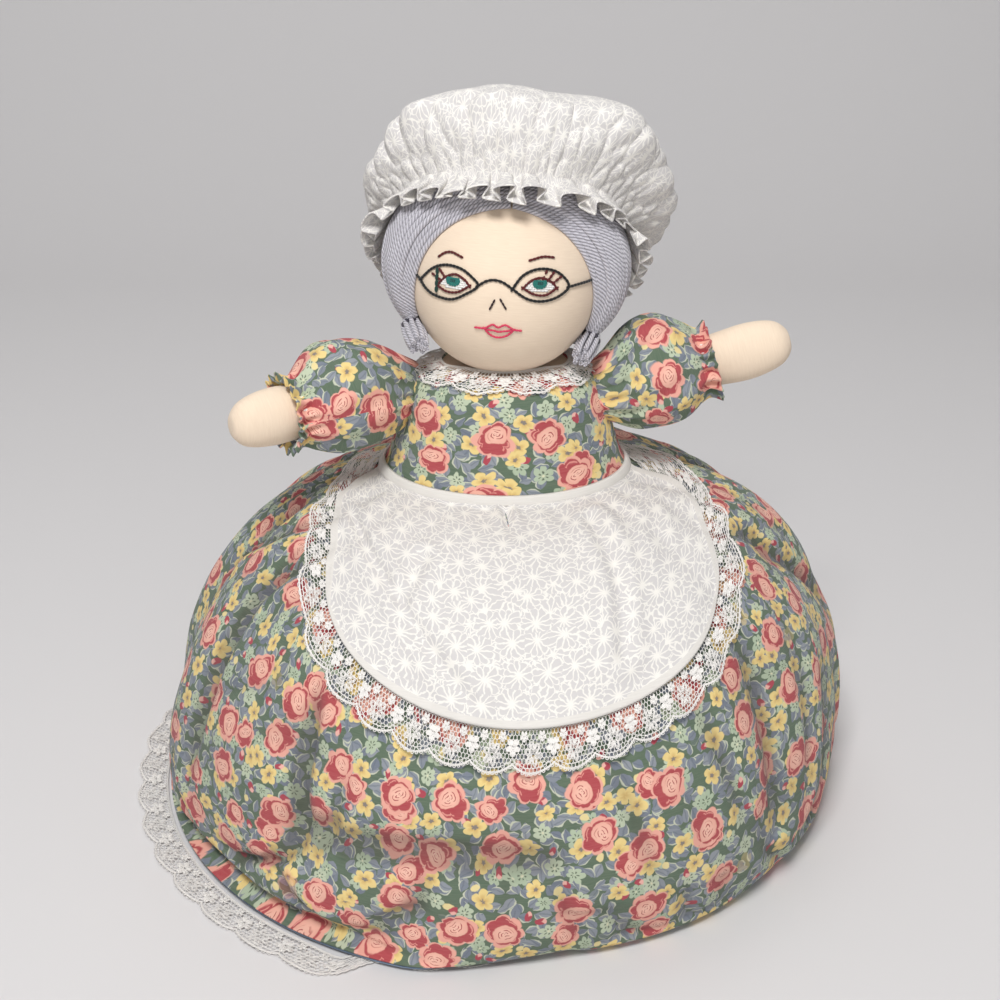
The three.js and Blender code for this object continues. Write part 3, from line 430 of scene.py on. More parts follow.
# Roses: pale rims round crimson petals, and a pale folded heart set to one side
for spacing, shift, size, kept in ((39.0, (83.0, 61.0, 0), 8.4, 0.62), (35.0, (0.0, 0.0, 0), 10.2, 0.93)):
    rose = scattered(drawn, spacing, shift, stray=0.55)
    bearing = rose["Angle"]
    own = rose["Shade"] * 6.0

    def wave(angle, lobes):
        return calc("SINE", angle * lobes + own)

    lobe = calc("SQRT", abs(wave(bearing, 3.5)))
    far = wave(bearing, 1.0) * 0.07 + rose["Radius"] / size / (lobe * 0.2 + 0.8)
    shown = under(far, 1.0, 0.03) * under(rose["Chance"], kept, 0.01)
    flower = blended(threads["Slub"], srgb(158, 46, 58), srgb(184, 74, 82))
    rim = under(wave(bearing, 2.0) * 0.09 + 0.83, far, 0.03)
    flower = blended(rim, flower, srgb(232, 166, 150))
    fold = under(abs(far - 0.7), 0.035, 0.02) * under(0.35, wave(bearing, 3.0), 0.1)
    flower = blended(fold, flower, srgb(222, 144, 134))
    aside = rose["X"] / size - 0.12
    above = rose["Y"] / size + 0.06
    heart_far = from_middle(aside, above)
    heart_way = calc("ARCTAN2", above, aside)
    heart_edge = wave(heart_way, 2.0) * 0.06 + heart_far
    heart = blended(heart_far, srgb(242, 194, 174), srgb(226, 148, 132))
    curled = heart_way * (-0.5 / math.pi) + heart_edge * 6.5
    line = under(calc("FRACT", curled + 8.0), 0.26, 0.08) * under(heart_edge, 0.36, 0.05)
    line = line * under(-0.55, wave(heart_way, 3.0), 0.3)
    heart = blended(line, heart, srgb(164, 50, 62))
    flower = blended(under(heart_edge, 0.53, 0.025), flower, heart)
    print_colour = blended(shown, print_colour, flower)

# Painted shade in the creases, darker the deeper the cloth lies in a fold, and pale threads
crease_shade_share = add_node(cloth.tree, "ShaderNodeAttribute", {}, "Fac", attribute_name="in_crease")
print_colour = blended(crease_shade_share * 0.5, print_colour, srgb(52, 44, 42))
print_colour = blended(threads["Slub"] * 0.16, print_colour, srgb(176, 166, 150))
coloured(shader, print_colour, threads["Height"], strength=0.3, distance=0.00016)

plain_cotton = cotton("plain_cotton", srgb(118, 138, 164), srgb(142, 160, 182), roughness=0.9, sheen=0.1,
                      threads_per_mm=2.6, strength=0.3, distance=0.00016)

CLOTH_THICKNESS = 0.8
bodice_line = smooth_line(BODY_LINE, shares(60))
bodice_run = run_length(bodice_line)
bodice_angle = around(180) - np.pi
ease = 0.45 * np.cos(15 * bodice_angle + 1.4 * np.sin(4 * bodice_angle)) * (1 - bodice_run[:, None] / 84) ** 2
bodice_radius = bodice_line[:, :1] + 0.4 + ease
bodice_points = round_points(bodice_radius, bodice_angle, bodice_line[:, 1:], BODY_DEPTH)
bodice_uv = flat_grid(np.linspace(0, 3.2, 181), bodice_run / 100)
for half, finish, slot, place in (("upper", calico, "calico", from_waist),
                                  ("lower", plain_cotton, "plain_cotton", below_waist)):
    bodice = surface(half + "_bodice_cloth", place(bodice_points), bodice_uv, wraps=True)
    bodice = thickened(bodice, CLOTH_THICKNESS)
    dressed(bodice, "torso_and_skirt", half + "_bodice", finish)


# Heads
# Each head is a firm ball of cream cotton over fill, drawn in at the neck. The shown head leans back
# and to its left; the face is worked in stranded cotton before the ball is closed.

HEAD_TURN = np.array(Matrix.Rotation(math.radians(-9), 3, "X") @ Matrix.Rotation(math.radians(4.5), 3, "Y"))
HEAD_RADIUS = 50
HEAD_DEPTH = 0.94
HEAD_HEIGHT = 110


def on_head(points):
    """Millimetres from the middle of the shown doll's head, turned with it."""
    return from_waist(np.asarray(points, float) @ HEAD_TURN.T + (0, 0, HEAD_HEIGHT))


def on_lower_head(points):
    return below_waist(np.asarray(points, float) + (0, 0, HEAD_HEIGHT))


def on_face(drawn, lift):
    """Points drawn across and up on the face, set on the ball."""
    drawn = np.asarray(drawn, float)
    deep = np.sqrt(np.maximum(HEAD_RADIUS**2 - drawn[:, 0] ** 2 - drawn[:, 1] ** 2, 0))
    ball = as_points(drawn[:, 0], -deep, drawn[:, 1])
    return ball * (1, HEAD_DEPTH, 1) * (1 + lift / HEAD_RADIUS)


polar_angle = np.linspace(np.pi, 0, 72)
head_profile = as_points(HEAD_RADIUS * np.sin(polar_angle), HEAD_RADIUS * np.cos(polar_angle))
for half, place in (("upper", on_head), ("lower", on_lower_head)):
    head = turned(half + "_head_stuffed", head_profile, place, depth=HEAD_DEPTH, sides=120)
    dressed(head, half + "_head", half + "_head", muslin)


# Embroidery
# The glasses, brows, eyes, nose and lips are lines of back stitch and fill stitch in six-strand
# cotton, drawn through the face of the ball.


def new_tool(name, inputs):
    """An empty tree that makes thread of given lines, in a finish, with inputs of its own."""
    inputs = {"Geometry": "Geometry", **inputs, "Finish": "Material"}
    return new_tree(name, "Geometry", inputs, {"Geometry": "Geometry"})


def close_tool(shape, given, result):
    """Ends a tool with one plain smooth mesh in the finish that it is given."""
    shape = add_node(shape.tree, "GeometryNodeRealizeInstances", {0: shape})
    shape = add_node(shape.tree, "GeometryNodeSetShadeSmooth", {0: shape})
    shape = add_node(shape.tree, "GeometryNodeSetMaterial", {0: shape, "Material": given["Finish"]})
    feed(result, {0: shape})


def laid(name, lines, tool, values):
    """Lines of points that a geometry node tree turns into thread or yarn, as a plain mesh."""
    starts = np.cumsum([0] + [len(line) for line in lines])
    edges = [(start + i, start + i + 1) for start, line in zip(starts, lines) for i in range(len(line) - 1)]
    mesh = bpy.data.meshes.new(name)
    mesh.from_pydata(np.concatenate(lines).tolist(), edges, [])
    obj = linked(name, mesh)
    modifier = obj.modifiers.new(tool.name, "NODES")
    modifier.node_group = tool
    for item in tool.interface.items_tree:
        if item.in_out == "INPUT" and item.name in values:
            modifier[item.identifier] = values[item.name]
    return made_plain(obj)


# Back stitch: one slim stitch after another along each line.
stitching, given, result = new_tool("back_stitch", {"Stitch": "Float", "Thread": "Float"})
path = add_node(stitching, "GeometryNodeMeshToCurve", {0: given["Geometry"]})
spots = add_node(stitching, "GeometryNodeCurveToPoints", {"Curve": path, "Length": given["Stitch"]}, None,
                 mode="LENGTH")
bead = add_node(stitching, "GeometryNodeMeshUVSphere", {"Segments": 8, "Rings": 6, "Radius": 0.5})
aligned = add_node(stitching, "FunctionNodeAlignRotationToVector", {"Vector": spots["Tangent"]}, axis="Z")
slim = add_node(stitching, "ShaderNodeCombineXYZ",
                {0: given["Thread"], 1: given["Thread"], 2: given["Stitch"] * 1.5})
beads = add_node(stitching, "GeometryNodeInstanceOnPoints",
                 {"Points": spots["Points"], "Instance": bead, "Rotation": aligned, "Scale": slim})
close_tool(beads, given, result)


def darker(colour, share):
    return (*[share * part for part in colour[:3]], 1)


def thread_finish(name, colour, dark=None, roughness=0.55, strand_scale=2600.0):
    """Spun cotton: one colour with the small light and dark of its strands."""
    material, shader, cloth = new_finish(name, roughness, sheen=0.2)
    place = add_node(cloth.tree, "ShaderNodeTexCoord", {}, "Object")
    strands = noise(place, strand_scale, detail=2.0)
    tone = blended(strands, dark or darker(colour, 0.6), colour)
    coloured(shader, tone, strands, strength=0.4, distance=0.0002)
    return material


def face_lines(strokes):
    """Each stroke as a close line of points on the face."""
    return [on_face(smooth_line(stroke, shares(8 * len(stroke))), lift=0.35) for stroke in strokes]


GLASSES = (
    ((-43.5, 0.4), (-37.7, 7.4), (-31.1, 10.6), (-23.3, 10.2), (-17.4, 6.9), (-14, 2.8), (-19.8, -2.1),
     (-26.7, -5.9), (-35.2, -5.6), (-40.2, -3.3), (-43.5, 0.4)),
    ((3.4, 2.9), (7.7, 9.4), (14, 12.9), (21.2, 13.2), (27.6, 10.5), (31.8, 4.8), (27, -0.1), (19.4, -2.6),
     (11.2, -1.7), (3.4, 2.9)),
    ((-14, 2.8), (-10.2, 5.5), (-6.2, 6.6), (-1.6, 5.8), (3.4, 2.9)),
    ((-49.6, 3.6), (-46.4, 2.2), (-43.5, 0.4)),
    ((31.8, 4.4), (38.7, 5.8), (47.4, 7)))
BROWS_AND_EYES = (
    ((-34.3, 14.3), (-31.6, 16.4), (-28, 17.2), (-23.4, 15.8)), ((11.4, 17.4), (17.4, 19.2), (22.3, 19.0)),
    ((-34.5, -0.2), (-30.6, 4.7), (-25.6, 6.9), (-20.8, 4.9), (-18.3, 2.2)),
    ((-34.5, -0.2), (-29.6, -2.3), (-23.9, -1.7), (-18.3, 2.2)),
    ((8.7, 3.7), (12.4, 7.4), (17.4, 9), (22.7, 7.1), (25.6, 4)),
    ((8.7, 3.7), (14, 0.9), (20.2, 0.5), (25.6, 4)),
    ((-33.6, 3.1), (-37, 4.8)), ((-31.2, 5.1), (-33.5, 7.6)), ((23.8, 6.6), (27.2, 9.5)),
    ((21.1, 8.1), (23.4, 11.5)), ((18.5, 8.8), (19.7, 12)))
NOSE = (((-5.4, -4.1), (-6.9, -7.6)), ((-1.9, -3.3), (0.5, -6.8)))
LIPS = (
    ((-13.3, -18.9), (-9, -18.7), (-6.4, -17), (-4.8, -16.4), (-2.2, -17.6), (0.6, -16.2), (2.6, -16.5),
     (5.8, -18.3), (9, -18.6)),
    ((-9, -18.9), (-6.4, -21.7), (-2.4, -23.2), (2.4, -21.9), (5.8, -18.5)),
    ((-7.2, -19.4), (-4, -19.6), (-1.8, -20), (1.4, -19.4), (4.2, -18.9)))
IRISES = ((-26.6, 2.6), (16.9, 5.2))
WHITES = (((-26.4, 2.3), 6.6, 3.2), ((17.1, 4.8), 7.0, 3.1))

iris_fill = []
for x, z in IRISES:
    for k in (-0.92, -0.65, -0.38, -0.1, 0.17, 0.45):
        half = 2.9 * math.sqrt(1 - k * k)
        level = z + 1.1 + 2.5 * k
        iris_fill.append(((x - half, level), (x, level), (x + half, level)))
white_fill = [((x - w * (1 - k * k), z + h * k), (x, z + h * k), (x + w * (1 - k * k), z + h * k))
              for (x, z), w, h in WHITES for k in (-0.7, -0.35, 0.0, 0.35, 0.7)]
pupil_fill = [((x - 0.8, z + k), (x + 0.1, z + k), (x + 1.0, z + k)) for x, z in IRISES for k in (0.7, 1.5)]
for name, strokes, colour, stitch, thread, lift in (
        ("eye_whites", white_fill, srgb(250, 248, 244), 1.6, 1.4, -0.35),
        ("irises", iris_fill, srgb(24, 122, 112), 1.2, 1.1, 0.3),
        ("pupils", pupil_fill, srgb(12, 78, 74), 0.8, 0.9, 0.6),
        ("brows_and_eyes", BROWS_AND_EYES, srgb(92, 8, 10), 1.9, 1.45, 0.2),
        ("nose", NOSE, srgb(48, 20, 20), 1.7, 1.2, 0.2),
        ("glasses", GLASSES, srgb(5, 5, 6), 2.2, 1.6, 0.3),
        ("upright_stitch", (((-34.6, 6.9), (-34.5, 2.3), (-34.4, -2.2)),), srgb(18, 58, 48), 2.4, 2.0, 0.8),
        ("lips", LIPS, srgb(222, 60, 96), 1.6, 1.2, 0.1)):
    lines = [on_head(line * (1 + lift / HEAD_RADIUS)) for line in face_lines(strokes)]
    features = laid("upper_face_" + name, lines, stitching,
                    {"Stitch": stitch * 0.001, "Thread": thread * 0.001,
                     "Finish": thread_finish("thread_" + name, colour)})
    dressed(features, "upper_head")

LOWER_FACE = (
    ((-24, 6), (-18.5, 9.5), (-13, 6)), ((13, 6), (18.5, 9.5), (24, 6)),
    ((-24, 6), (-26.5, 8.5)), ((24, 6), (26.5, 8.5)), ((-2, -4), (0, -5.5), (2, -4)))
LOWER_SMILE = (((-9, -15), (0, -19.5), (9, -15)),)
for name, strokes, finish in (
        ("eyes", LOWER_FACE, bpy.data.materials["thread_brows_and_eyes"]),
        ("smile", LOWER_SMILE, bpy.data.materials["thread_lips"])):
    lines = [on_lower_head(line) for line in face_lines(strokes)]
    features = laid("lower_face_" + name, lines, stitching,
                    {"Stitch": 0.0022, "Thread": 0.001, "Finish": finish})
    dressed(features, "lower_head")


# Hair
# Plied yarn is laid side by side from a centre part, couched along it, and swept down each side of
# the head. On the shown doll each side is bound with dark thread and its cut ends lie on the collar.

SIDES = ((1, "left"), (-1, "right"))
# Metres of yarn to one turn of its plies, its radius, and millimetres from one strand to the next.
YARN_TWIST = 0.0098
STRAND_RADIUS = 0.00158
STRAND_SPACING = 2.8


def unit(vectors):
    return vectors / np.linalg.norm(vectors, axis=-1, keepdims=True)


GATHER = unit(np.array((0.86, -0.1, -0.5)))

# Yarn: a round strand along each line, which keeps where it is along and round the strand.
yarn_tool, given, result = new_tool("plied_yarn", {"Radius": "Float"})
path = add_node(yarn_tool, "GeometryNodeMeshToCurve", {0: given["Geometry"]})
along = add_node(yarn_tool, "GeometryNodeSplineParameter", {}, "Length")
path = add_node(yarn_tool, "GeometryNodeStoreNamedAttribute", {0: path, "Name": "yarn_along", "Value": along},
                data_type="FLOAT", domain="POINT")
ring = add_node(yarn_tool, "GeometryNodeCurvePrimitiveCircle", {"Resolution": 8, "Radius": 1.0})
spot = add_node(yarn_tool, "GeometryNodeInputPosition", {})
ring = add_node(yarn_tool, "GeometryNodeStoreNamedAttribute", {0: ring, "Name": "yarn_round", "Value": spot},
                data_type="FLOAT_VECTOR", domain="POINT")
ring = add_node(yarn_tool, "GeometryNodeSetPosition", {0: ring, "Position": scaled(spot, given["Radius"])})
strand = add_node(yarn_tool, "GeometryNodeCurveToMesh",
                  {"Curve": path, "Profile Curve": ring, "Fill Caps": True})
close_tool(strand, given, result)


def yarn_finish(name, dark, light):
    """Soft spun yarn of four plies, with fibres that catch the light."""
    material, shader, cloth = new_finish(name, roughness=0.95, sheen=0.35)
    place = add_node(cloth.tree, "ShaderNodeTexCoord", {}, "Object")
    fibre = noise(place, scale=1500.0, detail=4.0)
    mixed = fibre * 0.6 + noise(place, scale=90.0, detail=2.0) * 0.4
    length = add_node(cloth.tree, "ShaderNodeAttribute", {}, "Fac", attribute_name="yarn_along")
    spot = add_node(cloth.tree, "ShaderNodeAttribute", {}, "Vector", attribute_name="yarn_round")
    spot = add_node(cloth.tree, "ShaderNodeSeparateXYZ", {0: spot}, None)
    bearing = length * (2 * math.pi / YARN_TWIST) + calc("ARCTAN2", spot["Y"], spot["X"])
    ply = abs(calc("SINE", bearing * 2.0))
    # Painted shade: the grooves between the plies are coloured darker.
    ply_groove_shade = under(ply, 0.5, 0.4) * 0.75
    tone = blended(ply_groove_shade, blended(mixed, dark, light), darker(dark, 0.45))
    coloured(shader, tone, fibre * 0.35 + ply, strength=0.7, distance=0.0006)
    return material


grey_yarn = yarn_finish("grey_yarn", srgb(156, 153, 163), srgb(232, 229, 236))
brown_yarn = yarn_finish("brown_yarn", srgb(84, 56, 34), srgb(150, 106, 68))


def hair_way(along, down, swept):
    """Direction from the middle of the head, from the part at down 0 to the gathered end at 1."""
    along = along + swept * np.sin(np.pi * down) * (1 - along) ** 2
    angle = np.radians(60 + 152 * along)
    part = as_points(np.zeros_like(angle), -np.cos(angle), np.sin(angle))
    sweep = np.arccos(np.clip(part @ GATHER, -1, 1))[..., None]
    down = down[..., None]
    return unit(part * np.sin((1 - down) * sweep) + GATHER * np.sin(down * sweep))


def hair_depth(along, down, at_side):
    """How far the hair stands off the ball, in millimetres."""
    side = 5.5 + (at_side - 5.5) * (1 - smooth_step(along, 0.3, 0.62))
    edge = np.minimum(1, np.minimum(along, 1 - along) / 0.2)
    rounded = 0.35 + 0.65 * np.sqrt(1 - (1 - edge) ** 2)
    return (4.5 + side * np.sin(np.pi * down**1.15)) * rounded


def hair_form(side, along, down, at_side, swept, depth_in):
    """Points on the outside of the hair. Before along 0 the hair comes down onto the face."""
    nape = 1.6 * smooth_step(along, 0.8, 0.95)
    depth = np.maximum(hair_depth(np.clip(along, 0, 1), down, at_side) - depth_in - nape, 0.5)
    depth = depth * np.clip(1 + along / 0.03, 0, 1)
    point = hair_way(along, down, swept) * (HEAD_RADIUS + 1 + depth)[..., None]
    point[..., 0] = side * (np.maximum(point[..., 0], 0) + 0.7)
    point[..., 1] *= HEAD_DEPTH
    return point


def hair_side(side, at_side, swept, end):
    """Lines of yarn on one side of a head, from the part to the gathered end."""
    lines = []
    rng = np.random.default_rng(11 + side)
    fine = np.linspace(-0.03, 0.996, 1500)
    run = run_length(hair_form(side, fine, np.full(1500, 0.5), at_side, swept, 1.3))
    for distance in np.arange(0, run[-1], STRAND_SPACING):
        along = np.interp(distance, run, fine)
        down = np.linspace(0, end, 70)
        loose = 0.012 * rng.uniform(-1, 1) * smooth_step(along, 0.0, 0.15) * np.sin(np.pi * down)
        sink = 1.4 + rng.uniform(-0.5, 0.5) * (0.4 + 1.2 * down**2) * smooth_step(along, 0.0, 0.15)
        lines.append(hair_form(side, along + loose, down, at_side, swept, sink))
    return lines


def hair_ground(side, at_side, swept, end):
    """The lower layers of yarn, under the strands that show, as rows of points."""
    along, down = np.meshgrid(np.linspace(0.02, 0.98, 40), np.linspace(0, end, 40))
    return hair_form(side, along, down, at_side, swept, 2.9) * 0.995


for half, place, finish, slot, at_side, end in (
        ("upper", on_head, grey_yarn, "grey_yarn", 11.5, 0.95),
        ("lower", on_lower_head, brown_yarn, "brown_yarn", 6.0, 0.93)):
    for side, word in SIDES:
        swept = {"upper left": 0.045, "upper right": 0.058}.get(f"{half} {word}", 0.0)
        lines = [place(line) for line in hair_side(side, at_side, swept, end)]
        strands = laid(f"{half}_hair_strands_{word}", lines, yarn_tool,
                       {"Radius": STRAND_RADIUS, "Finish": finish})
        dressed(strands, half + "_head", f"{half}_hair_{word}")
        ground_points = hair_ground(side, at_side, swept, end)[:, ::-side]
        ground_uv = flat_grid(shares(40), shares(40))
        ground = surface(f"{half}_hair_ground_{word}", place(ground_points), ground_uv)
        dressed(ground, half + "_head", finish=finish)

# Millimetres from the middle of the head to the bound end of each side.
BOUND_AT = 55.6
dark_thread = thread_finish("dark_thread", srgb(52, 46, 60))
for side, word in SIDES:
    start = GATHER * BOUND_AT * (side, 1, 1)
    run = unit(np.array((-0.28 * side, -0.88, -0.38)))
    across = unit(np.cross(run, (0, 0, 1.0)))
    high = np.cross(across, run)
    turn = np.linspace(0, 2 * np.pi * 4, 140)
    coil = start + np.outer(np.linspace(0.2, 2.8, 140), run)
    coil = coil + 5.2 * (np.outer(np.cos(turn), across) + np.outer(np.sin(turn), high))
    tie = laid(f"upper_hair_binding_{word}", [on_head(coil)], yarn_tool,
               {"Radius": 0.00055, "Finish": dark_thread})
    dressed(tie, "upper_head", f"upper_hair_tie_{word}")
    tail_lines = []
    rng = np.random.default_rng(5 + side)
    for ring_radius, count in ((0.0, 1), (2.3, 5), (4.1, 9)):
        for k in range(count):
            bearing = 2 * np.pi * k / count + ring_radius
            out = math.cos(bearing) * across + math.sin(bearing) * high
            share = shares(26)
            spread = ring_radius * (1 + 0.25 * np.sin(np.pi * share))
            length = 21 + rng.uniform(-3, 1.5)
            line = start + np.outer(-2.0 + length * share, run) + np.outer(spread, out)
            tail_lines.append(on_head(line))
    tail = laid(f"upper_hair_ends_{word}", tail_lines, yarn_tool, {"Radius": 0.0014, "Finish": grey_yarn})
    dressed(tail, "upper_head", f"upper_hair_tail_{word}")


# Cap
# A round of off-white cotton with a tone-on-tone print, hemmed, and drawn in by elastic sewn inside
# a little way from the edge, which leaves a ruffle outside and a puffed crown above.

white_print, shader, cloth, threads = woven("white_print", roughness=0.86, sheen=0.15, threads_per_mm=2.4)
drawn = drawn_by_hand(cloth, scale=0.12, amount=3.0)
drawn = drawn_by_hand(drawn, scale=0.36, amount=1.6)
squiggle = noise(cloth, scale=0.34, detail=1.0, noise_dimensions="2D")
print_share = under(abs(squiggle - 0.5), 0.035, 0.025)
for spacing, shift, size, count in ((11.0, (13.0, 41.0, 0), 6.4, 9.0), (16.0, (5.0, 2.0, 0), 9.8, 13.0),
                                    (14.0, (31.0, 17.0, 0), 8.0, 11.0)):
    daisy = scattered(drawn, spacing, shift, stray=0.8)
    lobe = abs(calc("COSINE", daisy["Angle"] * (count / 2)))
    rim = calc("SQRT", lobe) * (0.36 * size) + 0.64 * size
    disc = under(daisy["Radius"], rim, 0.2)
    outline = under(abs(daisy["Radius"] - rim), 0.42, 0.25)
    between = under(lobe * daisy["Radius"], 0.17 * count, 0.08 * count) * disc
    heart = under(daisy["Radius"], 0.14 * size, 0.3)
    mark = calc("MAXIMUM", calc("MAXIMUM", outline, between), heart)
    print_share = calc("MAXIMUM", print_share * (1.0 - disc), mark)
tone = blended(print_share, srgb(202, 199, 199), srgb(236, 233, 227))
tone = blended(threads["Slub"] * 0.3, tone, srgb(214, 208, 197))
coloured(shader, tone, threads["Height"], strength=0.3, distance=0.00016)

CAP_TILT = math.radians(46)
CAP_AXIS = np.array((0, math.sin(CAP_TILT), math.cos(CAP_TILT)))
CAP_UP = np.array((0, -CAP_AXIS[2], CAP_AXIS[1]))
# Where the elastic runs, as a share of the way from the ruffle's edge to the crown.
ELASTIC_SHARE = 1 / 6
cap_columns = 600
cap_share = np.concatenate((np.linspace(0, ELASTIC_SHARE, 18), np.linspace(ELASTIC_SHARE, 0.5, 34)[1:],
                            np.linspace(0.5, 1, 30)[1:]))


def cap_line(band_rise, puff_rise):
    """Half width, rise and distance along the cap's axis, from the ruffle's edge to the crown."""
    return smooth_line(((71.2, band_rise + 5, 16), (63.2, band_rise, 33), (78.1, 0.93 * puff_rise, 44),
                        (84, puff_rise, 56.1), (67.2, 0.8 * puff_rise, 74.8), (35.3, 0.42 * puff_rise, 85.8),
                        (0, 0, 88)), cap_share)


cap_angle = around(cap_columns)
front_line = cap_line(band_rise=58.5, puff_rise=84)
nape_line = cap_line(band_rise=54, puff_rise=64)
lean = 0.5 + 0.5 * np.tanh(4 * np.cos(cap_angle))[None, :, None]
cap_size = nape_line[:, None] + (front_line - nape_line)[:, None] * lean
phase = 30 * cap_angle + 1.6 * np.sin(3 * cap_angle + 1)
phase = phase + 1.2 * np.sin(5 * cap_angle + 2.3) + 0.8 * np.sin(8 * cap_angle)
vary = 1 + 0.28 * np.sin(4 * cap_angle + 0.7) + 0.22 * np.sin(9 * cap_angle + 2)
vary = vary + 0.16 * np.sin(17 * cap_angle)
outside = np.clip(1 - cap_share / ELASTIC_SHARE, 0, 1)[:, None]
inside = np.clip((cap_share - ELASTIC_SHARE) / (1 - ELASTIC_SHARE), 0, 1)[:, None]
front = np.maximum(np.cos(cap_angle), 0)
box_fold = np.tanh(1.5 * np.cos(phase))
ruffle = (0.8 + (2.5 + 0.4 * front) * outside) * (box_fold + 0.8) * vary
cap_run = run_length(front_line)
above = (cap_run - np.interp(ELASTIC_SHARE, cap_share, cap_run))[:, None]


def nearest_way(angle):
    """The same angle, within half a turn of 0."""
    return np.angle(np.exp(1j * angle))


def hump(value, middle, width):
    """1 at the middle, and less on both sides of it."""
    return np.exp(-(((value - middle) / width) ** 2))


def crinkles(count, tall, seed):
    """Puffs with sharp creases between them: so many round the cap, so tall, and 0 in a crease."""
    rng = np.random.default_rng(seed)
    angles, rises = np.meshgrid(np.arange(count) * 2 * np.pi / count, np.arange(0.3 * tall, 80, 0.75 * tall))
    angles = angles + rng.uniform(-0.5, 0.5, angles.shape) * 2 * np.pi / count
    rises = rises + rng.uniform(-0.4, 0.4, rises.shape) * tall
    nearest = np.full((len(cap_share), cap_columns), 9.0)
    second = nearest.copy()
    for angle, rise in zip(angles.flat, rises.flat):
        gap = np.hypot(nearest_way(cap_angle - angle) * count / (2 * np.pi), (above - rise) / tall)
        second = np.minimum(second, np.maximum(nearest, gap))
        nearest = np.minimum(nearest, gap)
    return np.clip((second - nearest) / 0.7, 0, 1) ** 0.75


gather = 3.4 * (crinkles(count=62, tall=24, seed=7) - 0.5)
gather = gather * smooth_step(above, -2, 7) * (1 - smooth_step(above, 14, 44))
puff = 4.6 * (crinkles(count=27, tall=34, seed=3) - 0.5) * smooth_step(above, 4, 20)
gather = gather + puff * (1 - 0.8 * smooth_step(above, 36, 62))
from_front = nearest_way(cap_angle)
crown = 4.5 * hump(from_front, 0.75, 0.3) - 3.0 * hump(from_front, 0, 0.35) + hump(from_front, -0.75, 0.3)
soft = 1.2 * np.sin(3 * cap_angle + 9 * inside) + 1.0 * np.sin(5 * cap_angle - 7 * inside + 1) + crown
soft = soft * np.sin(np.pi * inside) + 1.2 * np.sin(9 * cap_angle + 5 * inside) * np.sin(np.pi * inside) ** 2
swell = (np.where(outside > 0, ruffle, gather) + soft) * np.clip((1 - cap_share)[:, None] * 5, 0, 1)
flutter = outside * (1.9 * np.sin(phase + 0.9) * vary - 3.0 * front)
curl = 3.4 * outside * np.sin(2 * phase) / 70
cap_fade = 1 - smooth_step(cap_share, ELASTIC_SHARE, 0.45)[:, None]
cap_dip = 11 * front**4 * cap_fade
cap_points = ((cap_size[..., 0] + swell) * np.sin(cap_angle + curl))[..., None] * (1, 0, 0)
cap_points = cap_points + ((cap_size[..., 1] + swell) * np.cos(cap_angle + curl))[..., None] * CAP_UP
cap_points = cap_points + (cap_size[..., 2] + flutter - cap_dip)[..., None] * CAP_AXIS
cap_points[..., 0] += 5 * smooth_step(inside, 0.05, 0.5)
from_crown = (cap_run[-1] - cap_run)[:, None] / 100
cap_turns = np.linspace(0, 2 * np.pi, cap_columns + 1)
cap_uv = as_points(from_crown * np.sin(cap_turns), from_crown * np.cos(cap_turns))
cap = surface("cap_cloth", on_head(cap_points[:, ::-1]), cap_uv[:, ::-1], wraps=True)
cap = thickened(closed_at_poles(cap), CLOTH_THICKNESS)
dressed(cap, "cap", "cap", white_print)

elastic, shader, cloth = new_finish("elastic", roughness=0.8)
place = add_node(cloth.tree, "ShaderNodeTexCoord", {}, "Object")
ribs = add_node(cloth.tree, "ShaderNodeTexWave", {"Vector": place, "Scale": 260.0, "Distortion": 1.0})
tone = blended(ribs, srgb(214, 210, 204), srgb(236, 233, 228))
coloured(shader, tone, ribs, strength=0.4, distance=0.0003)
for node in ("cap_elastic", "upper_cuff_elastic_left", "upper_cuff_elastic_right",
             "lower_cuff_elastic_left", "lower_cuff_elastic_right"):
    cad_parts[node].data.materials.clear()
    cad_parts[node].data.materials.append(elastic)


# Arms and sleeves
# Each arm is a stuffed tube of cream cotton that ends in a flat mitten, seamed along its underside.
# A puffed sleeve is gathered into the armhole and drawn in at the wrist by elastic in a casing.

ARM_LINE = ((0, -20), (5.2, -19), (6, 2), (10.2, 13), (13.1, 30), (14.2, 54), (15.6, 76), (12.8, 92),
            (6.6, 99), (0, 100))
SLEEVE_LINE = ((17, -0.11), (21.4, 0.047), (27, 0.22), (30, 0.45), (28.8, 0.64), (22.8, 0.8),
               (17.6, 0.9), (21, 1))
SHOULDER_OUT = 58.5
SHOULDER_UP = 48


def arm_basis(side, raised, forward):
    """Across, up and along an arm, as rows."""
    raised, forward = math.radians(raised), math.radians(forward)
    along = np.array((side * math.cos(raised) * math.cos(forward), -math.cos(raised) * math.sin(forward),
                      math.sin(raised)))
    up = unit(np.array((0, 0, 1)) - along * along[2])
    return np.stack((np.cross(up, along), up, along))


arm_skin = smooth_line(ARM_LINE, shares(90))
arm_angle = around(72)
seam = 0.35 * hump(nearest_way(arm_angle - 1.5 * np.pi), 0, 0.09)
dent = 0.25 * np.sin(0.11 * arm_skin[:, 1:] + 3 * arm_angle) * np.clip(arm_skin[:, :1] / 14, 0, 1)
arm_radius = np.maximum(arm_skin[:, :1] + (dent - seam) * np.clip(arm_skin[:, :1] / 10, 0, 1), 0)
arm_points = as_points(0.82 * arm_radius * np.cos(arm_angle), arm_radius * np.sin(arm_angle),
                       arm_skin[:, 1:])
arm_uv = flat_grid(np.linspace(0, 0.9, 73), run_length(arm_skin) / 100)

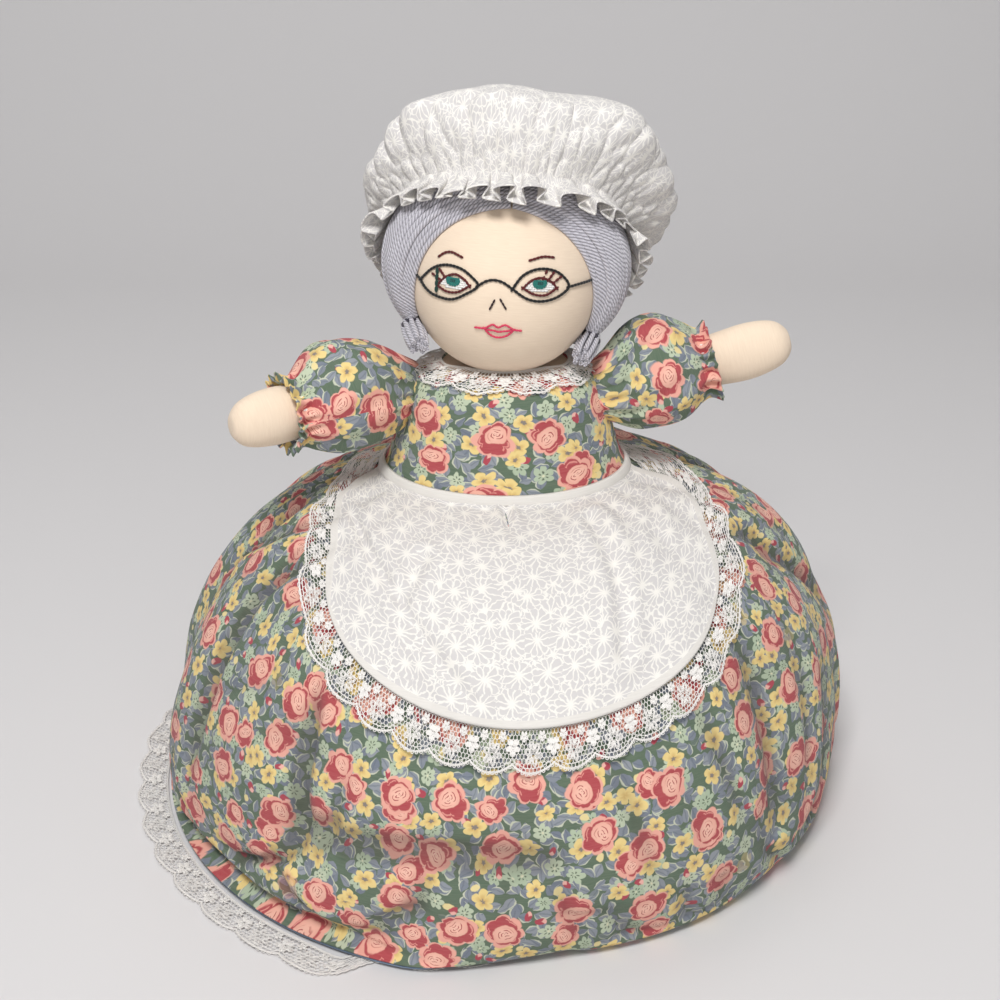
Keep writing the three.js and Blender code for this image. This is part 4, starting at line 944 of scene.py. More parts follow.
sleeve_line = smooth_line(SLEEVE_LINE, shares(90))
sleeve_angle = around(200)
sleeve_share = shares(90)[:, None]
folds = 17 * sleeve_angle + 1.1 * np.sin(2 * sleeve_angle + 0.5) + 0.8 * np.sin(5 * sleeve_angle)
at_head = hump(sleeve_share, 0.16, 0.13)
at_cuff = hump(sleeve_share, 0.86, 0.1)
at_edge = np.clip((sleeve_share - 0.88) / 0.12, 0, 1)
puckers = 1.5 * at_head * np.cos(folds) + 1.9 * at_cuff * np.cos(folds + 0.8)
puckers = puckers + 2.0 * at_edge * np.tanh(1.5 * np.cos(folds + 0.8))
creases = 1.6 * np.sin(7 * sleeve_angle + 9 * sleeve_share) * np.sin(np.pi * sleeve_share)
creases = creases * np.sin(3 * sleeve_angle + 1)
sleeve_radius = sleeve_line[:, :1] + puckers + creases
sewn_in = 1 - smooth_step(sleeve_share, 0, 0.24)[..., None]

for half, place, side, word, raised, forward, sleeve_length in (
        ("upper", from_waist, 1, "left", 15, -3, 57), ("upper", from_waist, -1, "right", 0, 33, 70),
        ("lower", below_waist, 1, "left", 28, 0, 64), ("lower", below_waist, -1, "right", 28, 0, 64)):
    sleeve_along = sleeve_line[:, 1:] * sleeve_length
    sleeve_lift = 3.5 * np.sin(np.pi * np.clip((sleeve_along - 4) / (0.85 * sleeve_length), 0, 1))
    sleeve_points = as_points(sleeve_radius * np.cos(sleeve_angle),
                              sleeve_radius * np.sin(sleeve_angle) + sleeve_lift,
                              sleeve_along)
    sleeve_run = run_length(np.concatenate((sleeve_line[:, :1], sleeve_along), axis=1))
    sleeve_uv = flat_grid(np.linspace(0, 1.63, 201), sleeve_run / 100) + (0.7 * side, 0.4)
    basis = arm_basis(side, raised, forward)
    pivot = np.array((side * SHOULDER_OUT, 0, SHOULDER_UP))

    armhole_back = side * 16 * np.cos(sleeve_angle)
    armhole_up = 45 + 15 * np.sin(sleeve_angle)
    armhole_out = np.interp(armhole_up, bodice_line[:, 1], bodice_line[:, 0])
    armhole_out = side * (np.sqrt(armhole_out**2 - (armhole_back / BODY_DEPTH) ** 2) - 2.5)
    armhole = as_points(armhole_out, armhole_back, armhole_up)

    arm = surface(f"{half}_arm_stuffed_{word}", place(arm_points @ basis + pivot), arm_uv, wraps=True)
    arm = closed_at_poles(arm)
    dressed(arm, f"{half}_arm_{word}", f"{half}_arm_{word}", muslin)

    sleeve_points = sewn_in * armhole + (1 - sewn_in) * (sleeve_points @ basis + pivot)
    sleeve = surface(f"{half}_sleeve_cloth_{word}", place(sleeve_points), sleeve_uv, wraps=True)
    sleeve = thickened(sleeve, CLOTH_THICKNESS)
    sleeve.data.materials.append(calico if half == "upper" else plain_cotton)
    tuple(place(pivot - 3.0 * basis[2]))
    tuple(place(pivot + 13.0 * basis[2]))
    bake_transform(sleeve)
    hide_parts(f"{half}_sleeve_{word}")
    "calico" if half == "upper" else "plain_cotton"


# Skirt
# One width of calico with a plain lining, seamed into a ring, gathered to the waist of both bodices.
# It stands as a full bell whose hem is rolled under, and lies out on the floor at the doll's right.

SKIRT_GATHERS = 24
GATHER_COLUMNS = 14
# Heights of the floor and of the skirt's widest place from the waist.
FLOOR = -193
WIDEST = -155
# Half width and half depth of the gathered waist, and the radius of the widest place.
WAIST_WIDE = 70
WAIST_DEEP = 54.82
SKIRT_RADIUS = 197
SKIRT_TURNS = np.concatenate((np.linspace(0, 0.2, 16), np.linspace(0.2, 1.6, 78)[1:],
                              np.linspace(1.6, 2, 22)[1:]))


def on_arc(angle, middle, half, fade):
    """1 on an arc round the skirt, given in degrees, and 0 away from it."""
    off = np.degrees(np.abs(nearest_way(angle - math.radians(middle))))
    return 1 - smooth_step(off, half, half + fade)


def hem_flare(angle):
    """1 where the hem lies out on the floor and 0 where it is rolled under."""
    return on_arc(angle, middle=-56, half=40, fade=30)


# Creases that run down between the big folds: column and turn of each end, then depth.
CREASE_COLUMNS = 52
CREASES = (
    (-5, 0.68, -5, 0.9, 9), (-5, 0.9, -7, 1.35, 7), (-9, 0.42, -9, 0.86, 6), (-12, 0.3, -12, 0.8, 7),
    (-2, 1.06, -3, 1.5, 5), (2, 1.06, 3, 1.5, 5), (5, 1.06, 5, 1.5, 4), (7, 0.62, 7, 0.95, 6),
    (11, 0.42, 13, 0.68, 8), (10, 0.8, 9, 1.3, 5), (16, 0.18, 16, 0.8, 7), (19, 0.24, 19, 0.95, 7),
    (22, 0.18, 22, 0.8, 7), (-22, 0.18, -22, 0.85, 7), (-19, 0.24, -19, 0.95, 7), (-16, 0.18, -16, 0.8, 7),
    (14, 0.9, 14, 1.5, 5), (18, 1, 18, 1.5, 5), (21, 0.9, 21, 1.5, 5), (24, 1, 24, 1.5, 5),
    (-24, 0.95, -24, 1.5, 5), (-21, 1, -21, 1.5, 5), (-17, 0.95, -17, 1.5, 5), (-14, 0.9, -14, 1.5, 5))
# Creases that run round it: arc in degrees, turn, spread along the turn, then depth.
CROSS_CREASES = (((-13, 14, 12), 0.87, 0.07, 6), ((150, 16, 14), 1.06, 0.08, 5))


def sharp(value):
    """1 in the middle of a crease, falling off on both sides with a small round at its foot."""
    return np.exp(math.sqrt(0.03) - np.sqrt(value**2 + 0.03))


def crease_run(turn, start, end, fades):
    """How far along a crease a place lies, and how much of the crease's depth it has."""
    along = np.clip((turn - start) / (end - start), 0, 1)
    begun = smooth_step(turn, start - fades[0], start + fades[1])
    ended = smooth_step(turn, end - fades[2], end + fades[3])
    return along, begun * (1 - ended)


def creased(angle, turn):
    """How far the big creases and the fold above the open hem press the skirt in."""
    depth = 10 * on_arc(angle, middle=-54, half=26, fade=20) * hump(turn, 1.7, 0.2)
    for from_column, from_turn, to_column, to_turn, deep in CREASES:
        along, kept = crease_run(turn, from_turn, to_turn, (0.14, 0.035, 0.035, 0.14))
        column = from_column + (to_column - from_column) * along
        off = np.degrees(nearest_way(angle - column * 2 * np.pi / CREASE_COLUMNS))
        depth = depth + deep * kept * sharp(off / 5)
    for arc, middle, spread, deep in CROSS_CREASES:
        depth = depth + deep * on_arc(angle, *arc) * sharp((turn - middle) / spread)
    return depth


def skirt_face(angle, turn):
    """The skirt's main form: turn is 0 at the waist, 1 at the widest place and 2 at the hem."""
    angle, turn = np.broadcast_arrays(np.asarray(angle, float), np.asarray(turn, float))
    waist = 1 / np.hypot(np.sin(angle) / WAIST_WIDE, np.cos(angle) / WAIST_DEEP)
    widest = SKIRT_RADIUS - 16 * np.maximum(-np.cos(angle), 0) ** 2
    fullness = 1 - 0.09 * np.sin(angle)
    swing = turn * np.pi / 2
    calm = 1 - 0.85 * np.exp(-((nearest_way(angle) / 0.95) ** 4))
    fold = 0.6 * np.cos(11 * angle + 0.6) + 0.4 * np.cos(7 * angle + 2.1)
    folded = 4 * fold * calm * turn * (2 - turn)
    inward = creased(angle, turn)
    slope = np.arctan2((widest - waist) * np.cos(swing), -WIDEST * np.sin(swing))
    upper = waist + (widest - waist) * np.abs(np.sin(swing)) ** fullness + folded - inward * np.cos(slope)
    upper_height = WIDEST - (WIDEST + 1) * np.maximum(np.cos(swing), 0) ** fullness - inward * np.sin(slope)
    flare = hem_flare(angle)
    tuck = 20 * (1 - flare) - 4 * flare
    rise = np.minimum(1, flare / 0.04) * 2.8 + 3.2 * flare - 0.5
    lower = widest - tuck * (1 - np.sin(swing)) + folded - inward
    lower_height = np.maximum(rise + (WIDEST - FLOOR - rise) * (1 + np.cos(swing)), 0) + FLOOR
    height = np.where(turn <= 1, upper_height, lower_height)
    return round_points(np.where(turn <= 1, upper, lower), angle, height)


def skirt_radius(angle, turn):
    """How far the skirt's main form stands from its upright axis."""
    place = skirt_face(angle, turn)
    return np.hypot(place[..., 0], place[..., 1])


def skirt_lift(angle, turn, lift):
    """A place that stands off the skirt's main form by a lift in millimetres."""
    step = 0.004
    turn = np.asarray(turn, float)
    wide = skirt_face(angle + step, turn) - skirt_face(angle - step, turn)
    down = skirt_face(angle, np.minimum(turn + step, 2)) - skirt_face(angle, np.maximum(turn - step, 0))
    return skirt_face(angle, turn) + unit(np.cross(down, wide)) * np.asarray(lift)[..., None]


# Small creases: angle and turn of each end, half width and depth in millimetres.
SMALL_CREASES = (
    (-34.6, 0.58, -34.6, 0.9, 3.0, 2.6), (-34.6, 0.92, -48, 1.35, 3.0, 2.6), (76, 0.36, 90, 0.68, 3.0, 2.6),
    (48.5, 0.6, 48.5, 0.95, 3.0, 2.4), (-62.3, 0.42, -62.3, 0.86, 3.0, 2.4), (-83, 0.3, -83, 0.8, 3.0, 2.4),
    (62, 0.24, 78, 0.4, 3.5, 3.0), (70, 0.3, 88, 0.44, 3.5, 2.6), (-52, 0.26, -66, 0.5, 4, 2.6),
    (-44, 0.6, -60, 0.7, 4, 2.6), (-64, 0.2, -86, 0.5, 4, 2.6), (-26, 0.75, -32, 1.0, 4, 2.4),
    (34, 0.62, 40, 0.95, 5, 2.4), (60, 0.62, 58, 1.0, 5, 2.6), (18, 0.72, 24, 1.0, 5, 2.0),
    (-12, 0.95, -20, 1.3, 5, 2.4), (8, 0.9, 12, 1.4, 5, 2.2), (-40, 1.0, -30, 1.5, 5, 2.6),
    (28, 1.0, 30, 1.5, 5, 2.4), (44, 0.95, 52, 1.5, 5, 2.4), (-70, 0.9, -62, 1.4, 5, 2.4),
    (80, 0.8, 86, 1.3, 5, 2.6), (104, 0.3, 100, 0.9, 5, 2.6), (122, 0.2, 124, 0.7, 5, 2.6),
    (142, 0.3, 140, 0.8, 5, 2.6), (166, 0.5, 160, 1.1, 5, 2.6), (-166, 0.5, -160, 1.2, 5, 2.6),
    (-142, 0.3, -144, 0.9, 5, 2.6), (-122, 0.2, -120, 0.8, 5, 2.6), (-100, 0.3, -96, 0.9, 5, 2.6))


def skirt_relief(angle, turn):
    """Gathers that run down from the waist, and small creases."""
    angle, turn = np.broadcast_arrays(np.asarray(angle, float), np.asarray(turn, float))
    calm = 1 - 0.8 * np.exp(-((nearest_way(angle) / 0.8) ** 4)) * smooth_step(1.0 - turn, 0, 0.3)
    crest = np.abs(np.sin(SKIRT_GATHERS * angle / 2 + 0.5 * np.sin(5 * angle))) ** 0.7
    depth = 3.2 * smooth_step(turn, 0.0, 0.1) * np.exp(-turn / 0.4) + 0.5 * hump(turn, 0.9, 0.5)
    relief = depth * (crest - 0.75) * calm
    reach = 160 * np.sin(np.minimum(turn, 1) * np.pi / 2)
    for from_angle, from_turn, to_angle, to_turn, wide, deep in SMALL_CREASES:
        along, kept = crease_run(turn, from_turn, to_turn, (0.12, 0.12, 0.15, 0.15))
        off = nearest_way(angle - np.radians(from_angle + (to_angle - from_angle) * along)) * reach
        dent = hump(off, 0, wide) - 0.5 * hump(off, 2 * wide, 1.4 * wide)
        relief = relief - deep * kept * dent
    cross = hump(turn, 0.87 + 0.015 * np.sin(9 * angle), 0.022)
    relief = relief - 2.4 * on_arc(angle, middle=-13, half=15, fade=10) * cross
    return relief * smooth_step(2 - turn, 0.0, 0.25)


skirt_columns = SKIRT_GATHERS * GATHER_COLUMNS
skirt_angle = around(skirt_columns) - np.pi
grid_turn, grid_angle = np.meshgrid(SKIRT_TURNS, skirt_angle, indexing="ij")
grid_relief = skirt_relief(grid_angle, grid_turn)
skirt_points = skirt_lift(grid_angle, grid_turn, grid_relief)
# Between gathers the cloth is hidden in the fold, so each gather carries its own strip of the print.
row, column = np.meshgrid(np.arange(len(SKIRT_TURNS) - 1), np.arange(skirt_columns), indexing="ij")
strip = column // GATHER_COLUMNS
middle = (strip + 0.5) * 2 * np.pi / SKIRT_GATHERS - np.pi
ring = skirt_radius(grid_angle, grid_turn).mean(axis=1)
ring = np.minimum(ring / 0.85, ring.max())
drop = run_length(skirt_face(0, SKIRT_TURNS)) / 100
wide = ring.max() * 2 * np.pi / SKIRT_GATHERS / 100


def strip_uv(rows, columns):
    across = (columns * 2 * np.pi / skirt_columns - np.pi - middle) * ring[rows] / 100 + (strip + 0.5) * wide
    return as_points(across, -drop[rows])


skirt_uv = np.stack((strip_uv(row, column), strip_uv(row, column + 1), strip_uv(row + 1, column + 1),
                     strip_uv(row + 1, column)), axis=2)[:, :, ::-1]
skirt = surface("skirt_cloth", from_waist(skirt_points[::-1]), skirt_uv[::-1], wraps=True)
# How far each place lies down in a crease, which the print takes as painted shade.
pressed = grid_relief - creased(grid_angle, grid_turn)
beside = np.mean([np.roll(pressed, step, axis=1) for step in (-5, -4, 4, 5)], axis=0)
padded_rows = np.pad(pressed, ((5, 5), (0, 0)), mode="edge")
over = np.mean([padded_rows[5 + step:5 + step + len(SKIRT_TURNS)] for step in (-5, -4, 4, 5)], axis=0)
in_crease = np.clip(np.maximum(beside - pressed, over - pressed) / 3.0, 0, 1)
painted_crease_shade = skirt.data.attributes.new("in_crease", "FLOAT", "POINT")
painted_crease_shade.data.foreach_set("value", in_crease[::-1].reshape(-1).astype(np.float32))
skirt = thickened(skirt, CLOTH_THICKNESS)
dressed(skirt, "torso_and_skirt", "skirt", calico)

lining_turn = grid_turn - 0.03 * smooth_step(grid_turn, 1.5, 2.0)
lining_points = skirt_lift(grid_angle, lining_turn, skirt_relief(grid_angle, lining_turn) - 2.2)
lining_uv = flat_grid(np.linspace(0, 11.4, skirt_columns + 1), drop)
lining = surface("skirt_lining_cloth", from_waist(lining_points[::-1]), lining_uv[::-1], wraps=True)
lining = thickened(lining, CLOTH_THICKNESS)
dressed(lining, "torso_and_skirt", "skirt_lining", plain_cotton)


# Lace
# Machine lace of white cotton: a fine six-sided net with worked flowers and sprays, a corded edge of
# scallops with small loops, and a straight heading by which it is sewn on.

lace_white = thread_finish("lace_white", srgb(243, 240, 236), srgb(220, 216, 211), roughness=0.8,
                           strand_scale=1800.0)

# Lace: repeats one pattern along a strip and lays its threads on a carrying cloth.
lace_tool, given, result = new_tool(
    "laid_lace", {"Repeats": "Int", "Pitch": "Float", "Length": "Float", "Width": "Float", "Thread": "Float",
                  "Sides": "Int", "Carrier": "Object"})
step = add_node(lace_tool, "ShaderNodeCombineXYZ", {0: given["Pitch"]})
starts = add_node(lace_tool, "GeometryNodeMeshLine", {"Count": given["Repeats"], "Offset": step})
flat = add_node(lace_tool, "GeometryNodeInstanceOnPoints", {"Points": starts, "Instance": given["Geometry"]})
flat = add_node(lace_tool, "GeometryNodeRealizeInstances", {0: flat})
spot = add_node(lace_tool, "GeometryNodeInputPosition", {})
apart = add_node(lace_tool, "ShaderNodeSeparateXYZ", {0: spot}, None)
share_along = add_node(lace_tool, "ShaderNodeClamp", {0: apart["X"] / given["Length"], 1: 0.0002, 2: 0.9998})
share_wide = add_node(lace_tool, "ShaderNodeClamp", {0: apart["Y"] / given["Width"], 1: 0.002, 2: 0.998})
carrier = add_node(lace_tool, "GeometryNodeObjectInfo", {"Object": given["Carrier"]}, "Geometry")
carrier_uv = add_node(lace_tool, "GeometryNodeInputNamedAttribute", {"Name": "UVMap"},
                      data_type="FLOAT_VECTOR")
sample_at = add_node(lace_tool, "ShaderNodeCombineXYZ", {0: share_along, 1: share_wide})
sampled = add_node(lace_tool, "GeometryNodeSampleUVSurface",
                   {"Mesh": carrier, "Value": spot, "Source UV Map": carrier_uv, "Sample UV": sample_at},
                   "Value", data_type="FLOAT_VECTOR")
carried = add_node(lace_tool, "GeometryNodeSetPosition", {0: flat, "Position": sampled})
path = add_node(lace_tool, "GeometryNodeMeshToCurve", {0: carried})
ring = add_node(lace_tool, "GeometryNodeCurvePrimitiveCircle",
                {"Resolution": given["Sides"], "Radius": given["Thread"]})
strand = add_node(lace_tool, "GeometryNodeCurveToMesh",
                  {"Curve": path, "Profile Curve": ring, "Fill Caps": True})
close_tool(strand, given, result)


def lace_pattern(pitch, width):
    """One repeat of the lace, flat, as lines of points in millimetres across and down."""
    lines = []
    cell = pitch / 11
    high = cell * 0.58

    def foot(x):
        return width - 4.2 * (1 - np.abs(np.sin(np.pi * x / pitch)) ** 0.8)

    for level in range(int(width / (1.5 * high)) + 1):
        x = np.arange(0, 23) * cell / 2
        y = 1.2 + 1.5 * high * level + np.where((np.arange(23) + level) % 2 == 0, 0.0, high / 2)
        kept = y < foot(x) - 0.6
        for i in range(22):
            if kept[i] and kept[i + 1]:
                lines.append(as_points(x[i:i + 2], y[i:i + 2]))
            if kept[i] and (i + level) % 2 == 1 and y[i] + high < foot(x[i]):
                lines.append(np.array(((x[i], y[i]), (x[i], y[i] + high))))
    x = np.linspace(0, pitch, 33)
    for inset in (0.0, 0.35, 0.7, 2.4):
        lines.append(as_points(x, foot(x) - 0.5 - inset))
    for level in (0.2, 0.6, 1.0):
        lines.append(as_points(np.linspace(0, pitch, 12), np.full(12, level)))
    for k in range(10):
        at = pitch * (k + 0.5) / 10
        turn = np.linspace(-0.3, np.pi + 0.3, 7)
        lines.append(as_points(at + 0.9 * np.cos(turn), foot(at) - 0.5 + 0.8 * np.sin(turn)))
    turn = np.linspace(0, 2 * np.pi, 9)
    for centre, size, count in (((pitch / 2, 0.56 * width), 6.0, 6), ((0.02 * pitch, 0.42 * width), 4.2, 5),
                                ((0.98 * pitch, 0.42 * width), 4.2, 5), ((0.27 * pitch, 0.2 * width), 2.6, 5),
                                ((0.73 * pitch, 0.2 * width), 2.6, 5)):
        for k in range(count):
            way = 2 * np.pi * (k + 0.25) / count
            ahead = np.array((np.cos(way), np.sin(way)))
            aside = np.array((-np.sin(way), np.cos(way)))
            for scale in (1.0, 0.72, 0.42):
                bow = np.outer(0.58 * size + 0.38 * size * scale * np.cos(turn), ahead)
                bow = bow + np.outer(0.26 * size * scale * np.sin(turn), aside)
                lines.append(bow + centre)
    return [np.concatenate((line * 0.001, np.zeros((len(line), 1))), axis=1) for line in lines]


def lace_strip(name, carrier_points, width, pitch, thread, sides):
    """Lace laid on a carrying cloth of points, rows from the heading to the scallops."""
    rows, columns = carrier_points.shape[:2]
    uv = flat_grid(shares(columns), shares(rows))
    cloth = surface(name + "_carrier", carrier_points, uv)
    length = float(run_length(carrier_points[rows // 2])[-1])
    repeats = max(1, round(length * 1000 / pitch))
    lace = laid(name, lace_pattern(1000 * length / repeats, width), lace_tool,
                {"Repeats": repeats, "Pitch": length / repeats, "Length": length, "Width": width * 0.001,
                 "Thread": thread * 0.001, "Sides": sides, "Carrier": cloth, "Finish": lace_white})
    bpy.data.objects.remove(cloth)
    dressed(lace, "torso_and_skirt")
    return lace


collar_run = run_length(bodice_line[::-1])
collar_share = np.interp(np.linspace(-0.5, 17.5, 10), collar_run, np.linspace(1, 0, 60))
collar_off = as_points(np.linspace(0.2, 1.4, 10), np.linspace(1.2, 1.6, 10))
collar_line = smooth_line(BODY_LINE, collar_share) + collar_off
collar_angle = np.linspace(0, 2 * np.pi, 241) + np.pi
collar_wave = 0.5 * np.sin(26 * collar_angle) * shares(10)[:, None]
# Under the chin the heading leans in to the neck.
collar_lean = np.zeros((10, 2))
collar_lean[:3] = (-4.0, 1.2), (-2.0, 0.8), (-0.7, 0.3)
at_chin = smooth_step(np.cos(collar_angle), 0.35, 0.8)
collar_rise = 0.5 * smooth_step(np.cos(collar_angle), -0.3, 0.3)
collar_radius = collar_line[:, :1] + collar_lean[:, :1] * at_chin
collar_height = collar_line[:, 1:] + collar_lean[:, 1:] * at_chin + collar_rise + collar_wave
collar_points = round_points(collar_radius, collar_angle, collar_height, BODY_DEPTH)
collar = lace_strip("collar_lace_threads", from_waist(collar_points), width=18, pitch=24, thread=0.2,
                    sides=4)
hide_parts("collar_lace")

hem_angle = np.linspace(0, 2 * np.pi, 481)
hem_share = shares(9)[:, None]
hem_out = on_arc(hem_angle, middle=-68, half=34, fade=22)
hem_turned = smooth_step(hem_out, 0.22, 0.65)
hem_start = 1.9 * hem_turned - 20.4 * (1 - hem_turned)
hem_radius = skirt_radius(hem_angle, 2) + hem_start + 18 * hem_share
hem_ripple = 1.1 * hem_out * hem_share * (1 + np.sin(46 * hem_angle))
hem_height = 0.9 + 2 * smooth_step(hem_out, 0.65, 1) * (1 - hem_share) + hem_ripple
hem_points = round_points(hem_radius, hem_angle, hem_height + FLOOR)
hem_lace = lace_strip("hem_lace_threads", from_waist(hem_points), width=18, pitch=26, thread=0.2, sides=3)
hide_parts("hem_lace")


# Apron
# A rounded panel of the cap's printed cotton, faced along its edge and edged with lace, gathered to a
# narrow folded band that goes round the waist and ties in a bow at the back.

white_cotton = cotton("white_cotton", srgb(208, 204, 198), srgb(228, 224, 218), roughness=0.86, sheen=0.15,
                      threads_per_mm=2.4, strength=0.3, distance=0.00016)

APRON_LENGTH = 135
APRON_HALF_WIDTH = 84
APRON_SLANT = 0.12
drop_turns = np.linspace(0, 2, 200)
drop_lengths = run_length(skirt_face(0, drop_turns))


def on_skirt(across, down, middle, lift):
    """A place on the skirt from millimetres across and down from the waist."""
    turn = np.interp(np.maximum(down, 0), drop_lengths, drop_turns)
    angle = middle + across / skirt_radius(middle, turn)
    return skirt_lift(angle, turn, lift + np.maximum(skirt_relief(angle, turn), -0.8))


def apron_half_width(down):
    return APRON_HALF_WIDTH + 28 * smooth_step(down, -8, 36)


def apron_foot(across):
    return APRON_LENGTH * (0.55 + 0.45 * np.sqrt(np.maximum(1 - across * across, 0)))


def apron_flat(across, down):
    return across * apron_half_width(down) + APRON_SLANT * down


# Gathers under the band: how far across, how long, how high and how wide.
APRON_GATHERS = (
    (30, 56, 1.6, 5), (40, 70, 1.8, 6), (52, 84, 1.8, 6), (64, 76, 1.6, 5), (-4, 26, 2.4, 2.6),
    (4, 26, 2.4, 2.6), (0, 34, -2.6, 2.2), (-20, 36, 1.2, 5), (-36, 30, 1.4, 5), (-50, 48, 1.8, 6),
    (-62, 60, 1.6, 5), (16, 44, 1.2, 5))
# Lines that the apron is creased along, across and down.
APRON_CREASES = (((-90, 40), (-64, 66), (-36, 100), (-17, 122)), ((-43, 49), (-52, 74)),
                 ((44, 20), (56, 57), (59, 105)))
apron_across = np.sin(np.linspace(-np.pi / 2, np.pi / 2, 131))
apron_share = shares(101)[:, None]
apron_down = 2 + (apron_foot(apron_across) - 2) * apron_share
apron_wide = apron_flat(apron_across, apron_down)
apron_lift = 1.9 + 1.6 * smooth_step(apron_down, 8, 40)
for ends in APRON_CREASES:
    line = smooth_line(ends, shares(60))
    off = np.min(np.hypot(apron_wide[..., None] - line[:, 0], apron_down[..., None] - line[:, 1]), axis=-1)
    apron_lift += -2.0 * hump(off, 0, 3.5) + 1.2 * hump(off, 8, 4)
for across, long, high, wide in APRON_GATHERS:
    line = apron_flat(across / APRON_HALF_WIDTH, apron_down)
    apron_lift += high * hump(apron_wide, line, wide) * (1 - smooth_step(apron_down, 0.3 * long, long))
apron_lift += 0.7 * np.sin(apron_wide / 9 + apron_down / 31) * smooth_step(apron_down, 30, 90) ** 2
to_edge = np.minimum((1 - apron_share) * apron_foot(apron_across),
                     (1 - np.abs(apron_across)) * apron_half_width(apron_down))
apron_lift += 0.45 * (1 - smooth_step(to_edge, 5.0, 6.0))
apron_points = on_skirt(apron_wide, apron_down, 0.0, apron_lift)
apron_uv = as_points(apron_wide, -apron_down) / 100
# The top edge goes up under the band.
top_angle = np.arctan2(apron_points[0, :, 0], -apron_points[0, :, 1] / BODY_DEPTH)
top_edge = round_points(69.6, top_angle, 3.2, BODY_DEPTH)
under_band = 0.5 * (top_edge + apron_points[0]) + (0, 0, 0.3)
apron_points = np.concatenate((top_edge[None], under_band[None], apron_points))
apron_uv = np.concatenate((apron_uv[:1] + (0, 0.06), apron_uv[:1] + (0, 0.03), apron_uv))
to_edge = np.concatenate((to_edge[:1], to_edge[:1], to_edge))
apron = surface("apron_cloth", from_waist(apron_points[::-1]), apron_uv[::-1])
apron = thickened(apron, millimetres=0.6)
apron.data.materials.append(white_print)
apron.data.materials.append(white_cotton)
faced = (to_edge[:-1, :-1] < 5.2)[::-1].reshape(-1)
for face in apron.data.polygons[:len(faced)]:
    face.material_index = int(faced[face.index])
dressed(apron, "torso_and_skirt", "apron")

side_down = np.linspace(6, 0.55 * APRON_LENGTH, 40, endpoint=False)
foot_across = -np.cos(np.linspace(0, np.pi, 121))
edge_across = np.concatenate((np.full(40, -1.0), foot_across, np.full(40, 1.0)))
edge_down = np.concatenate((side_down, apron_foot(foot_across), side_down[::-1]))
edge_flat = as_points(apron_flat(edge_across, edge_down), edge_down)
edge_run = run_length(edge_flat)
even = np.linspace(0, edge_run[-1], 321)
edge_flat = np.stack([np.interp(even, edge_run, edge_flat[:, axis]) for axis in (0, 1)], axis=-1)
edge_way = unit(np.gradient(edge_flat, axis=0))
edge_out = as_points(-edge_way[:, 1], edge_way[:, 0])

stitch_flat = (edge_flat - 4.6 * edge_out)[6:-6]
stitch_points = on_skirt(stitch_flat[:, 0], stitch_flat[:, 1], 0.0, 2.5)
white_thread = thread_finish("white_thread", srgb(236, 233, 228))
hem_stitches = laid("apron_hem_stitches", [from_waist(stitch_points)], stitching,
                    {"Stitch": 0.003, "Thread": 0.0005, "Finish": white_thread})
dressed(hem_stitches, "torso_and_skirt")

lace_share = shares(10)[:, None]
lace_out_by = 1 + 21 * lace_share - 2 * (1 - lace_share)
lace_across = edge_flat[:, 0] + edge_out[:, 0] * lace_out_by
lace_down = edge_flat[:, 1] + edge_out[:, 1] * lace_out_by
lace_ripple = 1.7 + 1.5 * lace_share * (1 + np.sin(even / 3.6 + 1.2 * np.sin(even / 17)))
lace_points = on_skirt(lace_across, lace_down, 0.0, lace_ripple)
apron_lace = lace_strip("apron_lace_threads", from_waist(lace_points), width=21, pitch=26, thread=0.21,
                        sides=4)
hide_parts("apron_lace")

band_section = np.array(((69.3, 2.0), (70.6, 2.1), (70.6, 3.0), (69.9, 4.6), (69.0, 6.2), (68.2, 7.1),
                         (66.7, 7.2), (69.3, 2.0)))
band_points = round_points(band_section[:, :1], around(160), band_section[:, 1:], BODY_DEPTH)
band_uv = flat_grid(np.linspace(0, 3.2, 161), run_length(band_section) / 100)
waistband = closed_at_poles(surface("apron_band", from_waist(band_points), band_uv, wraps=True))
dressed(waistband, "torso_and_skirt", "apron_waistband", white_cotton)

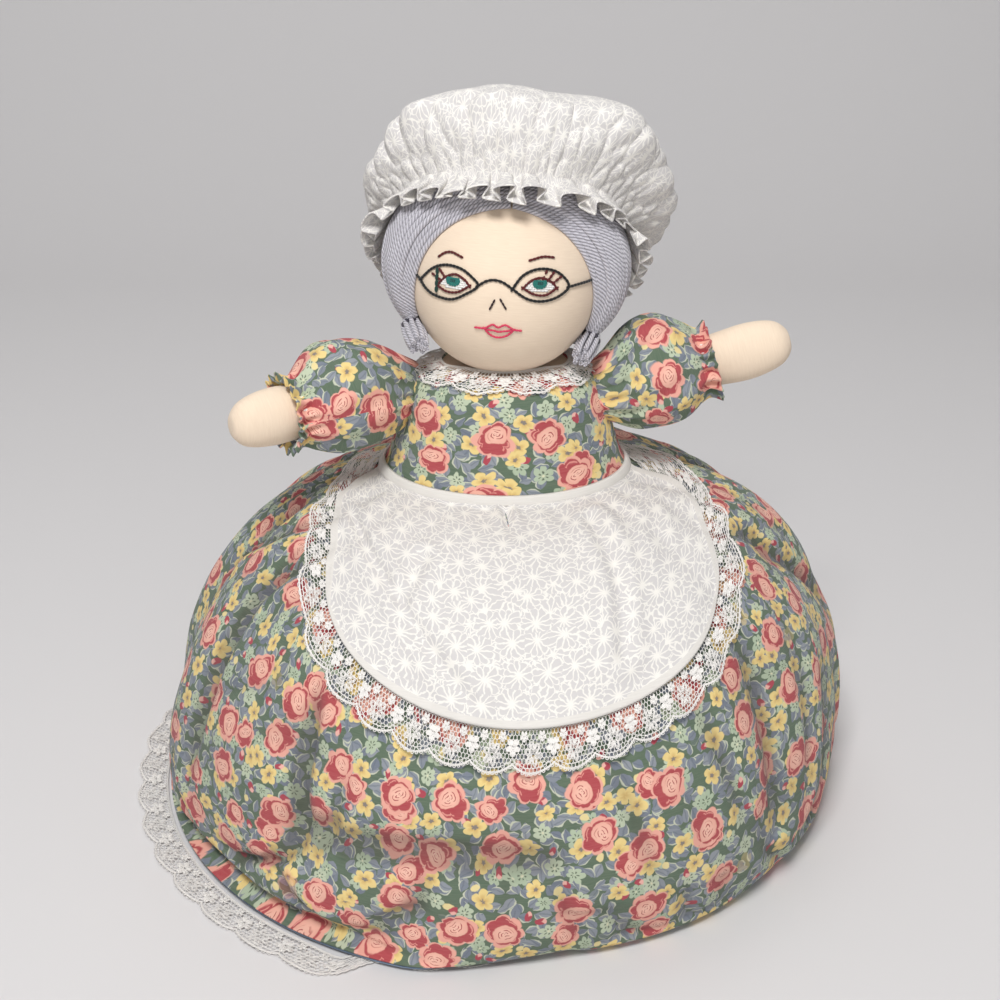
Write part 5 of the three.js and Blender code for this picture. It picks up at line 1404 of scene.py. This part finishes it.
TIE_THICKNESS = 0.7
bow_middle = np.array((0, 59.0, 4.7))
knot_line = smooth_line(((0, -4.0), (3.2, -3.7), (4.1, 0), (3.2, 3.7), (0, 4.0)), shares(24))
knot = turned("apron_knot", knot_line, lambda p: from_waist(p + bow_middle), depth=0.95, sides=48)
dressed(knot, "torso_and_skirt", "apron_bow_knot", white_cotton)
outline = smooth_line(((2.5, 0), (12, 4.4), (21, 6.0), (31, 4.6), (34, 2.4), (30, -0.6), (20, -1.6),
                       (11, -1.2), (2.5, 0)), shares(70))
pinch = 0.45 + 0.55 * smooth_step(outline[:, 0], 2, 18)
loop_uv = flat_grid(run_length(outline) / 100, np.linspace(0, 0.08, 9))
for side, word in SIDES:
    loop_points = np.stack([as_points(side * outline[:, 0], outline[:, 1], 4 * k * pinch)
                            for k in np.linspace(-1, 1, 9)])
    loop = surface(f"apron_loop_{word}", from_waist(loop_points[:, ::side] + bow_middle), loop_uv)
    loop = thickened(loop, TIE_THICKNESS)
    dressed(loop, "torso_and_skirt", f"apron_bow_loop_{word}", white_cotton)
    tail_down = np.linspace(3, 105, 60)[:, None]
    tail_wide = side * (3 + 0.16 * tail_down + 1.2 * np.sin(tail_down / 15)) + np.linspace(-4, 4, 9)
    tail_lift = 2.0 + 0.5 * np.sin(tail_down / 9 + side)
    tail_points = on_skirt(tail_wide, tail_down, np.pi, tail_lift)
    tail_uv = flat_grid(np.linspace(0, 0.08, 9), tail_down[:, 0] / 100)
    tail = surface(f"apron_tail_{word}", from_waist(tail_points[::-1]), tail_uv[::-1])
    tail = thickened(tail, TIE_THICKNESS)
    dressed(tail, "torso_and_skirt", f"apron_tie_tail_{word}", white_cotton)


# Stage
# A pale floor that runs up into a pale backdrop, soft light from three sides, and the camera a little
# above the doll, as the picture was taken.

floor_finish = bpy.data.materials.new("pale_floor")
floor_finish.use_nodes = True
feed(floor_finish.node_tree.nodes["Principled BSDF"], {"Base Color": srgb(214, 212, 212), "Roughness": 0.9})
bend = np.array([(-2.2, 0.0), (0.9, 0.0)] + [(0.9 + 0.6 * math.sin(a), 0.6 - 0.6 * math.cos(a))
                                            for a in np.linspace(0.1, math.pi / 2, 14)] + [(1.5, 2.4)])
floor_points = np.stack([as_points(np.full(len(bend), x), bend[:, 0], bend[:, 1])
                         for x in np.linspace(-3, 3, 9)], axis=1)
floor_uv = flat_grid(shares(9), shares(len(bend)))
floor = surface("floor", floor_points, floor_uv)
floor.data.materials.append(floor_finish)

world = bpy.data.worlds.new("soft_room")
bpy.context.scene.world = world
world.use_nodes = True
feed(world.node_tree.nodes["Background"], {"Color": srgb(238, 238, 240), "Strength": 0.25})

for name, place, size, power in (("key", (-0.2, -1.15, 1.9), 0.6, 36), ("fill", (0.2, -1.9, 0.6), 1.2, 8),
                                 ("top", (-0.1, 0.6, 1.9), 1.0, 5)):
    light = bpy.data.lights.new(name, "AREA")
    light.size = size
    light.energy = power
    lamp = linked(name, light)
    lamp.location = place
    lamp.rotation_euler = (Vector((0, 0, 0.2)) - Vector(place)).to_track_quat("-Z", "Y").to_euler()

camera = linked("camera", bpy.data.cameras.new("camera"))
camera.data.lens = 60
camera.data.sensor_width = 36
camera.location = (0.008356, -0.840209, 0.585741)
camera.rotation_euler = (math.radians(64), 0, 0)
bpy.context.scene.camera = camera
bpy.context.scene.view_settings.view_transform = "Standard"
